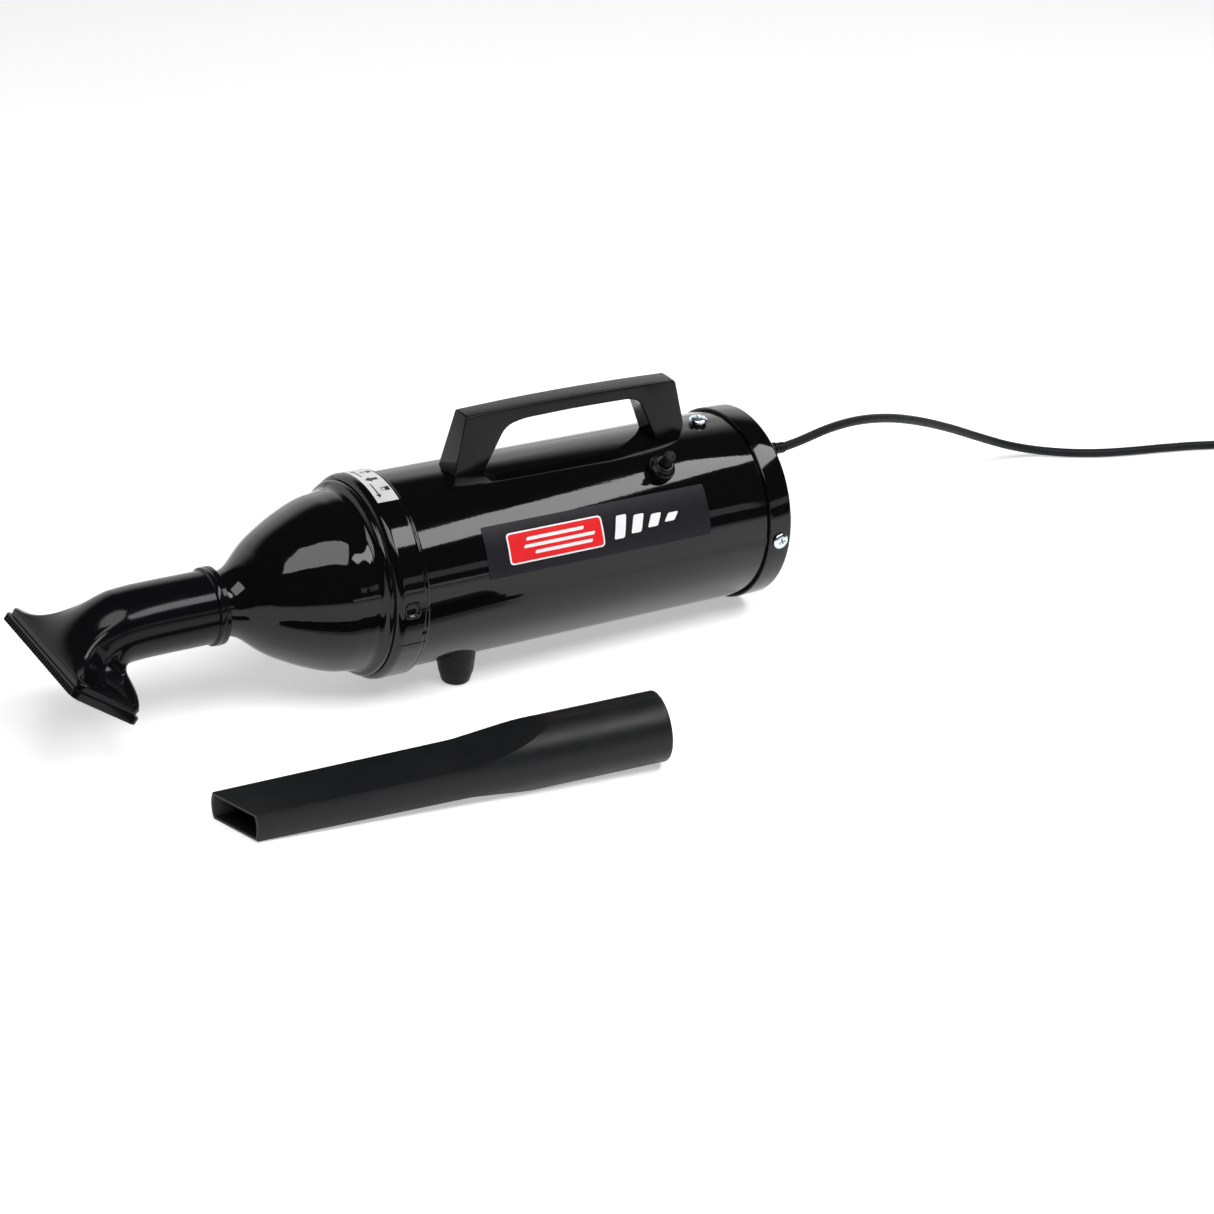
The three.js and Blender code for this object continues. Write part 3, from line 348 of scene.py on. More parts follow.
def without(piece, *cutters):  # cuts the cutters' shapes out of a piece and removes them
    for cutter in cutters:
        cutting = piece.modifiers.new("cut", "BOOLEAN")
        cutting.operation, cutting.solver, cutting.object = "DIFFERENCE", "EXACT", cutter
    return smoothed(settled(piece, cutters))


def plainMesh(piece):  # what the modifiers make of a piece
    bpy.context.view_layer.update()
    return bpy.data.meshes.new_from_object(piece.evaluated_get(bpy.context.evaluated_depsgraph_get()))


def settled(piece, spare=()):  # a plain mesh in place of the modifiers
    mesh, finish, name = plainMesh(piece), piece.data.materials[0], piece.name
    for old in (piece, *spare):
        bpy.data.objects.remove(old)
    mesh.name = name
    mesh.materials.clear()
    mesh.materials.append(finish)
    for polygon in mesh.polygons:
        polygon.material_index = 0
    return linked(name, mesh)


def bevelled(piece, width, segments=2, angle=32):
    edge = piece.modifiers.new("edge", "BEVEL")
    edge.width, edge.segments, edge.limit_method = width / 1000, segments, "ANGLE"
    edge.angle_limit = math.radians(angle)
    return smoothed(settled(piece), 50)


# Node trees for what repeats

class Tree:  # copies of one piece on points, made real and given a finish
    def __init__(self, name, **inputs):
        self.group = bpy.data.node_groups.new(name, "GeometryNodeTree")
        self.sockets = {}
        for label, kind in {**inputs, "Copy": "Object", "Finish": "Material"}.items():
            made = self.group.interface.new_socket(label, in_out="INPUT", socket_type="NodeSocket" + kind)
            self.sockets[label] = made.identifier
        self.group.interface.new_socket("Geometry", in_out="OUTPUT", socket_type="NodeSocketGeometry")
        self.given = self.group.nodes.new("NodeGroupInput").outputs

    def add(self, kind, links=None, **settings):
        node = self.group.nodes.new(kind)
        for key, value in settings.items():
            setattr(node, key, value)
        for socket, source in (links or {}).items():
            if isinstance(source, bpy.types.NodeSocket):
                self.group.links.new(source, node.inputs[socket])
            else:
                node.inputs[socket].default_value = source
        return node.outputs[0]

    def copied(self, points, **turned):
        copy = self.group.nodes.new("GeometryNodeObjectInfo")
        self.group.links.new(self.given["Copy"], copy.inputs["Object"])
        links = {"Points": points, "Instance": copy.outputs["Geometry"], **turned}
        real = self.add("GeometryNodeRealizeInstances", {0: self.add("GeometryNodeInstanceOnPoints", links)})
        painted = self.add("GeometryNodeSetMaterial", {"Geometry": real, "Material": self.given["Finish"]})
        out = self.group.nodes.new("NodeGroupOutput")
        self.group.links.new(painted, out.inputs["Geometry"])
        return self

    def grown(self, name, finish, place=housing, base=None, **values):
        carrier = linked(name, base or bpy.data.meshes.new(name))
        growth = carrier.modifiers.new("nodes", "NODES")
        growth.node_group = self.group
        for label, value in {"Finish": finish.material, **values}.items():
            growth[self.sockets[label.capitalize()]] = value
        mesh = plainMesh(carrier)
        bpy.data.objects.remove(carrier)
        mesh.transform(place)
        return finished(name, mesh, finish)


def ringTree():  # round a circle about x, the first turned by Start
    tree = Tree("ringOfCopies", Count="Int", Radius="Float", Start="Float")
    given = tree.given
    step = tree.add("ShaderNodeMath", {0: math.tau, 1: given["Count"]}, operation="DIVIDE")
    links = {0: tree.add("GeometryNodeInputIndex"), 1: step, 2: given["Start"]}
    turn = tree.add("ShaderNodeCombineXYZ", {"X": tree.add("ShaderNodeMath", links, operation="MULTIPLY_ADD")})
    links = {"Vector": tree.add("ShaderNodeCombineXYZ", {"Z": given["Radius"]}), "Rotation": turn}
    spot = tree.add("ShaderNodeVectorRotate", links, rotation_type="EULER_XYZ")
    dots = tree.add("GeometryNodePoints", {"Count": given["Count"]})
    return tree.copied(tree.add("GeometryNodeSetPosition", {"Geometry": dots, "Position": spot}), Rotation=turn)


def rowTree():  # along a straight line
    tree = Tree("rowOfCopies", Count="Int", Start="Vector", Step="Vector")
    links = {"Count": tree.given["Count"], "Start Location": tree.given["Start"], "Offset": tree.given["Step"]}
    return tree.copied(tree.add("GeometryNodeMeshLine", links))


def spotTree():  # on loose points that carry their own turn and size
    tree = Tree("copiesOnSpots", Spots="Geometry")
    kind = "GeometryNodeInputNamedAttribute"
    turn, size = (tree.add(kind, {"Name": name}, data_type="FLOAT_VECTOR") for name in ("turn", "size"))
    return tree.copied(tree.given["Spots"], Rotation=turn, Scale=size)


ringOfCopies = ringTree()
rowOfCopies = rowTree()
copiesOnSpots = spotTree()
plain = Matrix.Identity(4)


# Cord, from the strain relief over the bench into its coil, and its plug

cord = {
    "diameter": 5.2,
    "exit": (249.5, 26.0),  # along the housing's axis, and above it
    "coilCentre": (627, -34.8),
    "columns": (44.3, 38.9, 33.5, 28.1, 22.7),
    "layers": (2.62, 8.02, 13.42),
    "perTurn": 40,
    "shiftOver": 0.16,  # the share of a turn in which the cord moves over to the next
    "lead": (
        (263, 2.6, 77.6), (288, 8.5, 78), (314, 16, 74.4), (344, 26, 65.6), (376, 37, 52.6),
        (408, 47, 37.6), (438, 54.5, 22.6), (465, 57.5, 10.4), (486, 54.5, 4.2), (504, 45.5, 2.7),
        (522, 37, 2.65), (541, 31, 2.65), (561, 26, 2.65), (581, 20.4, 2.65), (596, 15.2, 2.65),
        (609, 12.2, 2.65),
    ),
    "tail": (
        (649, -9.5, 19), (656.5, -18, 19), (660.8, -28, 19.6), (659, -38, 21), (653.6, -45.2, 22.5),
        (646.5, -48.9, 23),
    ),
}


def coilPoints():
    (cx, cy), columns, per = cord["coilCentre"], cord["columns"], cord["perTurn"]
    stops, points, shiftOver = [], [], cord["shiftOver"]
    for layer, height in enumerate(cord["layers"]):
        stops += [(radius, height) for radius in (columns if layer % 2 == 0 else columns[::-1])]
    for turn, (radius, height) in enumerate(stops):
        nextRadius, nextHeight = stops[min(turn + 1, len(stops) - 1)]
        for k in range(per):
            t = max(0.0, (k / per - 1 + shiftOver) / shiftOver)
            t = t * t * (3 - 2 * t)
            angle = math.pi / 2 - 2 * math.pi * k / per
            r = radius + (nextRadius - radius) * t
            z = height + (nextHeight - height) * t
            points.append((cx + r * math.cos(angle), cy + r * math.sin(angle), z))
    return points


def cordPoints():
    toBench = bench.inverted() @ housing
    exitPoint = tuple(toBench @ Vector((cord["exit"][0], 0, cord["exit"][1])))
    knots = [exitPoint, *cord["lead"], coilPoints()[0]]
    lead = curved(knots, 6)
    (cx, cy), last = cord["coilCentre"], cord["columns"][-1]
    low, high = cord["layers"][-1], cord["tail"][0][2]
    rise = []
    for k in range(1, 8):  # up over the finished layer
        t = k / 8
        angle = math.radians(90 - 41 * t)
        r = last + (33.5 - last) * t * t * (3 - 2 * t)
        rise.append((cx + r * math.cos(angle), cy + r * math.sin(angle), low + (high - low) * min(1, 1.6 * t)))
    return lead[:-1] + coilPoints() + rise + curved(cord["tail"], 5)


def mainsCord():
    points = [bench @ Vector(p) for p in cordPoints()]
    data = bpy.data.curves.new("mainsCord", "CURVE")
    data.dimensions = "3D"
    data.bevel_depth, data.bevel_resolution = cord["diameter"] / 2000, 3
    data.use_fill_caps = True
    line = data.splines.new("POLY")
    line.points.add(len(points) - 1)
    for spot, p in zip(line.points, points):
        spot.co = (*p, 1)
    line.use_smooth = True
    data.materials.append(cordRubber.material)
    piece = seat(linked("mainsCord", data), "housing", "cord_rubber", "cord_lead", "cord_coil", "cord_tail")
    length = sum((b - a).length for a, b in zip(points, points[1:]))
    print("cord length", round(length, 3))
    return piece, points, length


flex, flexPoints, flexLength = mainsCord()


plug = {"length": 30, "height": 13, "neck": 12, "yaw": 200, "bladeSpread": 6.35, "bladeReach": 17, "gap": 0.3}


def plugPlace():
    turn = math.radians(plug["yaw"])
    tail = cord["tail"][-1]
    reach = plug["neck"] + plug["gap"]
    coilTop = cord["layers"][-1] + cord["diameter"] / 2 - 0.02
    height = coilTop + plug["height"] / 2 + plug["gap"]
    at = (tail[0] + reach * math.cos(turn), tail[1] + reach * math.sin(turn), height)
    return bench @ Matrix.Translation(at) @ Matrix.Rotation(turn, 4, "Z")


def softOblong(halfWidth, halfDepth, power, count=48):  # a rounded section as points across and along
    turns = [2 * math.pi * k / count for k in range(count)]
    share = 2 / power
    return [
        (halfWidth * math.copysign(abs(c) ** share, c), halfDepth * math.copysign(abs(s) ** share, s))
        for c, s in ((math.cos(a), math.sin(a)) for a in turns)
    ]


def moulding():
    stations = [  # along, width, height, squareness
        (-12, 6.4, 6.4, 2), (-11.6, 8, 8, 2), (-9, 8.2, 8.2, 2), (-8.6, 7, 7, 2), (-7.2, 7, 7, 2),
        (-6.8, 8.4, 8.4, 2), (-4.6, 8.6, 8.6, 2), (-4.2, 7.4, 7.4, 2), (-2.8, 7.6, 7.6, 2),
        (-2.2, 9.2, 9, 2), (1, 10.5, 10, 2.2), (5, 14.6, 11, 2.5), (9, 17.4, 11.4, 2.8),
        (14, 18.4, 11.6, 3), (18, 18.6, 11.8, 3.2), (23, 20.4, 12.6, 3.6), (26, 21.8, 13, 4),
        (28.6, 22, 13, 4), (29.7, 21.4, 12.4, 4), (30, 20.2, 11.2, 4),
    ]
    rings = [
        [(along, y, z) for y, z in softOblong(w / 2, h / 2, power)]
        for along, w, h, power in curved(stations, 2)
    ]
    body = lofted("plugMoulding", rings, rubber, plugPlace(), 50, hollow=False)
    return seat(body, "housing", "rubber", "plug_body")


def plugBlade(side):
    spread, reach, start = side * plug["bladeSpread"], plug["bladeReach"], plug["length"] + plug["gap"]
    outline = eased([(start, -3.15), (start, 3.15), (start + reach, 3.15, 2.2), (start + reach, -3.15, 2.2)], 5)
    rings = [[(x, spread + t, z) for x, z in outline] for t in (-0.75, 0.75)]
    word = "Left" if side < 0 else "Right"
    blade = lofted("plugBlade" + word, rings, brass, plugPlace(), hollow=False)
    place = plugPlace() @ Matrix.Translation((start + reach - 4, 0, 0)) @ Matrix.Rotation(math.pi / 2, 4, "Z")
    hole = spun("hole", drill(spread - 2, spread + 2, 1.5), brass, 24, place)
    return seat(bevelled(without(blade, hole), 0.2), "housing", "brass", "plug_blade_" + word.lower())


sleeve = {"start": 219.0, "end": 249.2, "bore": 2.9, "ribs": 7, "firstRib": 227.2, "pitch": 2.9, "taper": 0.46}


def cordRelief():
    start, end, bore = sleeve["start"], sleeve["end"], sleeve["bore"]
    outline = [(start, bore), (start, 6.6, 0.4), (219.75, 6.6), (219.75, 5), (221.55, 5), (221.55, 6.4)]
    outline += [(226.2, 6.4, 0.4)]
    for k in range(sleeve["ribs"]):  # the neck's ribs, each a little smaller than the last
        x = sleeve["firstRib"] + sleeve["pitch"] * k
        r = 5.9 - sleeve["taper"] * k
        low = max(2.95, r - 0.9)
        outline += [(x, low, 0.2), (x + 0.9, low, 0.2), (x + 1.0, r, 0.25), (x + 2.7, r - 0.15, 0.25)]
    outline += [(end - 1.2, 3.1, 0.1), (end, 3.05, 0.1), (end, bore)]
    place = housing @ Matrix.Translation((0, 0, cord["exit"][1]))
    return seat(spun("cordRelief", eased(outline, 2), rubber, 48, place), "housing", "rubber", "strain_relief")


plugBody = moulding()
blades = [plugBlade(-1), plugBlade(1)]
relief = cordRelief()
print("cord, coil and plug laid")


# Housing tube

tube = {
    "radius": 50.8,
    "wall": 1.2,
    "front": -16,
    "rear": 218.2,
    "lug": 84.4,
    "unlock": 25,
    "lugAt": -10.5,
    "switchAt": (148.3, 34, 4.6),  # along, degrees from the top, hole radius
    "screwHoles": ((190.3, 0), (213.8, 90), (213.8, 270), (49, 0), (163.8, 0)),
}


def sectorBlock(name, a0, a1, inner, outer, x0, x1):
    corners = ((x0, inner), (x0, outer), (x1, outer), (x1, inner))
    rings = [around(corners, math.radians(a0 + (a1 - a0) * k / 16)) for k in range(17)]
    return lofted(name, rings, enamel, hollow=False)


def housingTube():
    outer, inner = tube["radius"], tube["radius"] - tube["wall"]
    front, rear = tube["front"], tube["rear"]
    outline = [(front, inner, 0.3), (front, outer, 0.5), (rear, outer, 0.4), (rear, inner, 0.3)]
    shell = spun("housingTube", eased(outline, 3), enamel, 224)
    cutters = []
    for side in (0, 180):
        far = side + tube["lug"] + 5
        near = far - tube["unlock"] - 10
        cutters.append(sectorBlock("slot", near, far, inner - 2, outer + 2, tube["lugAt"] - 3.8, tube["lugAt"] + 3.8))
        cutters.append(sectorBlock("way", near, near + 10, inner - 2, outer + 2, front - 1, tube["lugAt"] + 3.7))
    for x, angle, radius in [tube["switchAt"], *((x, angle, 2.1) for x, angle in tube["screwHoles"])]:
        cutters.append(standing("hole", drill(inner - 4, outer + 4, radius), enamel, x, angle, 24))
    return seat(without(shell, *cutters), "housing", "enamel", "housing_tube")


housingTube()


# Rear cap with its exhaust holes

cap = {
    "radius": 52.3,
    "wall": 1.1,
    "rear": 221.2,
    "sleeve": 14,
    "edge": 1.6,
    "holes": ((13, 6), (27, 10), (40, 16)),  # radius of each ring of holes, and how many
    "hole": 3.4,
    "screws": ((213.8, 90), (213.8, 270)),
}


def rearCap():
    outer, inner, rear, wall = cap["radius"], cap["radius"] - cap["wall"], cap["rear"], cap["wall"]
    front, hole = rear - cap["sleeve"], cap["hole"]
    outline = [(front, 51.0, 0.1), (front, outer, 0.9), (rear, outer, cap["edge"]), (rear, 46), (rear - 0.5, 45.4)]
    outline += [(rear - 0.5, 8.2), (rear, 7.6), (rear, 0), (rear - wall, 0), (rear - wall, inner, 0.8)]
    outline += [(front + 1.4, inner, 0.3)]
    shell = spun("rearCap", eased(outline, 5), enamel, 224)
    corners = [(hole * math.cos(k * math.pi / 3), hole * math.sin(k * math.pi / 3)) for k in range(6)]
    plate = [[(x, y, z) for y, z in corners] for x in (rear - 3, rear + 3)]
    punch = lofted("punch", plate, enamel, plain, hollow=False)
    cutters = []
    for radius, count in cap["holes"]:
        sizes = {"count": count, "radius": float(radius), "start": math.pi / count}
        holes = ringOfCopies.grown("holes", enamel, copy=punch, **sizes)
        near = abs(radius - cord["exit"][1]) < 8  # the ring that makes room for the cord
        cutters.append(withoutNear(holes, 28) if near else holes)
    bpy.data.objects.remove(punch)
    place = housing @ Matrix.Translation((0, 0, cord["exit"][1]))
    cutters.append(spun("bore", drill(rear - 3, rear + 1, 5.3), enamel, 40, place))
    for x, angle in cap["screws"]:
        cutters.append(standing("hole", drill(inner - 3, outer + 3, 2.1), enamel, x, angle, 24))
    return seat(without(shell, *cutters), "housing", "enamel", "rear_cap")


def withoutNear(holes, degrees):  # leaves out the holes within some degrees of the top
    shape = bmesh.new()
    shape.from_mesh(holes.data)
    back = housing.inverted()
    local = [(vert, back @ vert.co) for vert in shape.verts]
    spare = [vert for vert, p in local if abs(math.degrees(math.atan2(p.y, p.z))) < degrees]
    bmesh.ops.delete(shape, geom=spare, context="VERTS")
    shape.to_mesh(holes.data)
    shape.free()
    return holes


rearCap()
print("housing and cap shaped")


# Screws

screws = {
    "head": 4.4,
    "height": 2.2,
    "shank": 1.8,
    "cross": (0.62, 2.5, 1.35),  # half width, half length and depth of the recess
    "size": 1.0,
    "top": (190.3, 0, 5 / 4.4),
    "handle": (49, 163.8),
    "feet": (34, 25.7, 57),
}


def panHead(name, shankLength):  # a cross-recessed pan head whose underside is at z = 0
    head, height, shank = screws["head"], screws["height"], screws["shank"]
    wide, long, deep = screws["cross"]
    outline = [(-shankLength, 0), (-shankLength, shank, 0.4), (0, shank), (0, head, 0.15)]
    outline += [(height * 0.42, head, 0.5), (height * 0.86, head * 0.72, 1.6), (height, head * 0.25, 0.6), (height, 0)]
    body = spun(name, eased(outline, 5), zinc, 64, Matrix.Rotation(-math.pi / 2, 4, "Y"))
    cutters = []
    for turn in (0, math.pi / 2):
        rings = []
        for z, narrow in ((height - deep, 0.45), (height + 0.8, 1.25)):
            w, l = wide * narrow, long * narrow
            rings.append([(w, l, z), (-w, l, z), (-w, -l, z), (w, -l, z)])
        cutters.append(lofted("cross", rings, zinc, Matrix.Rotation(turn + 0.35, 4, "Z"), hollow=False))
    return without(body, *cutters)


def spots(places):  # loose points with the turn and size of each screw, in housing millimetres
    mesh = bpy.data.meshes.new("spots")
    mesh.from_pydata([p for p, turn, size in places], [], [])
    turns = mesh.attributes.new("turn", "FLOAT_VECTOR", "POINT")
    sizes = mesh.attributes.new("size", "FLOAT_VECTOR", "POINT")
    for k, (p, turn, size) in enumerate(places):
        turns.data[k].vector = turn
        sizes.data[k].vector = (size, size, size)
    return mesh


def screwSet(name, master, places, nodes):
    piece = copiesOnSpots.grown(name, zinc, base=spots(places), copy=master)
    return seat(piece, "housing", "zinc", *nodes)


def onTube(x, angle, radius, size=1.0):
    a = math.radians(angle)
    return ((x, -radius * math.sin(a), radius * math.cos(a)), (a, 0, 0), size)


def allScrews():
    short, long = panHead("shortScrew", 6), panHead("longScrew", 12)
    onCap = [onTube(x, angle, cap["radius"] + 0.25, screws["size"]) for x, angle in cap["screws"]]
    x, angle, size = screws["top"]
    onTop = onTube(x, angle, tube["radius"] + 1.1, size)
    screwSet("outerScrews", short, [*onCap, onTop], ["cap_screw_near", "cap_screw_far", "top_screw"])
    inside = tube["radius"] - tube["wall"] - 0.4
    under = [((x, 0, inside), (math.pi, 0, 0), 0.9) for x in screws["handle"]]
    screwSet("handleScrews", long, under, ["handle_screw_front", "handle_screw_rear"])
    x, spread, reach = screws["feet"]
    below = [((x, side * spread, -reach + 4.6), (math.pi, 0, 0), 0.76) for side in (-1, 1)]
    screwSet("footScrews", long, below, ["foot_screw_near", "foot_screw_far"])
    for master in (short, long):
        bpy.data.objects.remove(master)
    washer = [(50.75, 2.0), (50.75, 4.2, 0.2), (51.95, 4.2, 0.2), (51.95, 2.0)]
    seat(standing("topScrewSleeve", eased(washer, 3), zinc, 190.3, 0), "housing", "zinc")


allScrews()
print("screws driven")


# Handle

grip = {
    "height": 81,
    "topHalf": 5.75,
    "footHalf": 8.5,
    "seat": 50.8,
    "outer": (  # x, height, fillet, from the front foot over the top to the rear foot
        (36.6, 47, 0), (43, 81, 1.2), (75, 82.2, 12), (106, 82.6, 20), (140, 82.2, 16),
        (168.9, 81.2, 2.2), (175.4, 56, 3.5), (173.4, 47, 0),
    ),
    "inner": (
        (158.4, 47, 0), (147.6, 72.6, 9), (141, 75.2, 7), (106, 75.6, 10), (76, 74.9, 12),
        (66, 72.2, 9), (53.4, 47, 0),
    ),
}


def handle():
    edges = [(*p, 0) for p in eased(grip["outer"], 8)] + [(*p, 1) for p in eased(grip["inner"], 8)]
    lean = (grip["footHalf"] - grip["topHalf"]) / (grip["height"] - grip["seat"])
    rings = []
    for across in (k / 6 - 1 for k in range(13)):
        line = []
        for x, z, inside in edges:
            y = (grip["topHalf"] + lean * (grip["height"] - z)) * across
            foot = math.sqrt((grip["seat"] - 0.5) ** 2 - y**2)
            crown = 0 if inside or z < 78 else 0.22 * (1 - across**2)
            line.append((x, y, max(z, foot) + crown))
        rings.append(line)
    bar = bevelled(lofted("handleBar", rings, glossPlastic, housing, 40, hollow=False), 0.7, 3, 50)
    return seat(bar, "housing", "gloss_plastic", "handle")


handle()
print("handle moulded")


# Rubber feet, their soles level with the bench

foot = {"flare": 2.3, "edge": 1.7}


def rubberFoot(side):
    word = "near" if side < 0 else "far"
    low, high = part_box("foot_" + word)
    middle, flare, edge = (low + high) / 2 * 1000, foot["flare"], foot["edge"]
    radius = (high.x - low.x) * 500 - flare - 0.1
    rows = [(4.2, 5), (3.9, 5), (3.7, 0.2), (4.2, 0), (radius - edge, 0)]
    for a in (0.3, 0.6, 0.9, 1.2, math.pi / 2):
        rows.append((radius - edge * (1 - math.sin(a)), edge * (1 - math.cos(a))))
    rows += [(radius + flare * t, edge + 8 * t) for t in (0.3, 0.6)] + [(radius + flare, 14)]
    toHousing, rings = housing.inverted(), []
    for r, z in rows:
        circle = []
        for a in (2 * math.pi * k / 64 for k in range(64)):
            x, y = middle.x + r * math.cos(a), middle.y + r * math.sin(a)
            local = toHousing @ Vector((x / 1000, y / 1000, 0))
            drop = -axis.z / axis.x * local.x  # how far the housing's axis has dipped there
            top = start.z * 1000 - math.sqrt((tube["radius"] - 0.4) ** 2 - local.y**2) - drop
            circle.append((x, y, min(z, top) if z < 10 else top))
        rings.append(circle)
    piece = lofted("foot" + word.capitalize(), rings, rubber, millimetre, 40, hollow=False)
    return seat(piece, "housing", "rubber", "foot_" + word)


for side in (-1, 1):
    rubberFoot(side)
print("feet moulded")


# Push-button switch

button = {"at": 148.3, "angle": 34, "nut": 7.3, "teeth": 36, "plunger": 3.2, "tip": 66.3, "top": 59}


def switchPieces():
    x, angle, nut, tip, radius, top = (button[key] for key in ("at", "angle", "nut", "tip", "plunger", "top"))
    skirt = [(50.3, 4.4), (50.3, nut - 0.3), (51.4, nut - 0.3, 0.2), (51.4, nut - 0.35), (55.3, nut - 0.35, 0.3)]
    skirt += [(56.1, nut - 1.1, 0.4), (56.1, 4.4)]
    nutBody = standing("switchNut", eased(skirt, 3), glossPlastic, x, angle, 72)
    rib = [[(0.35, 0, h), (0, 0.3, h), (-0.35, 0, h)] for h in (51.5, 55.1)]
    tooth = lofted("tooth", rib, rubber, plain, hollow=False)
    tooth.data.transform(Matrix.Rotation(-math.pi / 2, 4, "Y") @ Matrix.Translation((0, nut - 0.4, 0)))
    place = housing @ Matrix.Rotation(math.radians(angle), 4, "X") @ Matrix.Translation((x, 0, 0))
    place = place @ Matrix.Rotation(math.pi / 2, 4, "Y")
    sizes = {"count": button["teeth"], "radius": 0.0, "start": 0.0}
    ribs = ringOfCopies.grown("switchKnurl", glossPlastic, place, copy=tooth, **sizes)
    bpy.data.objects.remove(tooth)
    seat(nutBody, "housing", "satin_plastic", "switch_nut")
    seat(ribs, "housing", "satin_plastic")
    boot = [(31, 0), (31, 7.2, 0.6), (48.6, 7.2, 0.4), (48.6, 4.3), (56.2, 4.3), (56.2, 5.9, 0.2), (56.9, 6.2, 0.3)]
    boot += [(57.2, 5.5, 0.15), (top - 0.9, 5.3, 0.2), (top - 0.7, 4.8, 0.1), (top, 4.6, 0.3), (top, 3.5, 0.2)]
    boot += [(top - 14, 3.5), (top - 14, 0)]
    seat(standing("switchBushing", eased(boot, 3), glossPlastic, x, angle, 64), "housing", "satin_plastic", "switch_body")
    stem = [(49, 0), (49, radius), (tip, radius, 0.9), (tip, radius * 0.62, 0.2), (tip - 0.25, radius * 0.5, 0.2)]
    stem += [(tip - 0.25, 0)]
    seat(standing("switchPlunger", eased(stem, 4), rubber, x, angle, 48), "button", "rubber", "switch_plunger")


switchPieces()
print("switch fitted")


# Nose dome, lock ring and bag

dome = {
    "flange": -20,
    "wall": 1.2,
    "neckFront": -112,
    "profile": (  # x, radius, from the flange to the neck
        (-23.6, 46.5), (-26, 46.3), (-30, 45.7), (-35, 44.9), (-41, 43.1), (-47, 40.7), (-53, 38),
        (-59, 34.9), (-65, 31.5), (-70.5, 27.7), (-75.5, 23.4), (-79.8, 19.8), (-83.6, 17.6),
        (-87.5, 16.5), (-91, 16.4),
    ),
}


def noseDome():
    outer = curved(dome["profile"], 5)
    wall = dome["wall"]
    inner = [(x + 0.5, r - wall) for x, r in outer[::-1]]
    flange = dome["flange"]
    outline = [(flange + 2.6, 45.4), (flange + 2.6, 50.0), (flange + 1.9, 50.4), (flange + 1.0, 50.3)]
    outline += [(flange + 0.2, 49.8), (flange - 0.3, 49.0), (flange - 0.8, 48.0), (flange - 1.5, 47.3)]
    outline += [(flange - 2.4, 46.8)]
    outline += outer + [(dome["neckFront"] + 0.4, 16.4), (dome["neckFront"], 16.1), (dome["neckFront"], 15.4)]
    outline += [(dome["neckFront"] + 0.3, 15.2)] + inner
    return seat(spun("noseDome", outline, enamel, 224, sharp=40), "nose", "enamel", "nose_dome")


ring = {
    "radius": 53.2,
    "rear": 1.0,
    "wall": 1.5,
    "band": 13.6,
    "shoulder": 4.4,
    "pocket": (84.4, -8.8, 3.5, 1.5),  # degrees, x, half size, depth
    "dimple": (99, -1.8, 1.8, 0.9),
    "lap": 106,
    "lug": 6,
}


def ringAngles():  # closer together round the pockets
    angles, a = [], 0.0
    while a < 360 - 1e-6:
        angles.append(math.radians(a))
        local = (a % 180 + 360) % 180
        a += 0.375 if 77.9 < local < 110.4 else 1.5
    return angles


def ringDent(x, r, degrees):
    degrees %= 360
    turn = degrees % 180
    near = degrees < 180
    centre, at, half, depth = ring["pocket"]
    s = math.radians(turn - centre) * r
    span = ((abs(s) / half) ** 4 + (abs(x - at) / half) ** 4) ** 0.25
    sunk = depth * (1 - smooth(0.86, 1.04, span)) + 0.22 * (1 - smooth(0.0, 0.14, abs(span - 1.12)))
    if x > at:  # the groove from the pocket to the rear edge
        sunk = max(sunk, 0.5 * (1 - smooth(0.9, 1.5, abs(s + 0.8))) * smooth(at + 3.0, at + 3.6, x))
    if near:
        centre, at, half, depth = ring["dimple"]
        s = math.radians(turn - centre) * r
        sunk += depth * (1 - smooth(0.35, 1.0, math.hypot(s, x - at) / half))
        sunk -= 0.24 * smooth(ring["lap"] - 0.35, ring["lap"], turn) * (1 - smooth(ring["lap"] + 3, 116, turn))
    return x, r - sunk * smooth(-15.0, -12.5, x)


def smooth(low, high, value):
    t = min(1.0, max(0.0, (value - low) / (high - low)))
    return t * t * (3 - 2 * t)


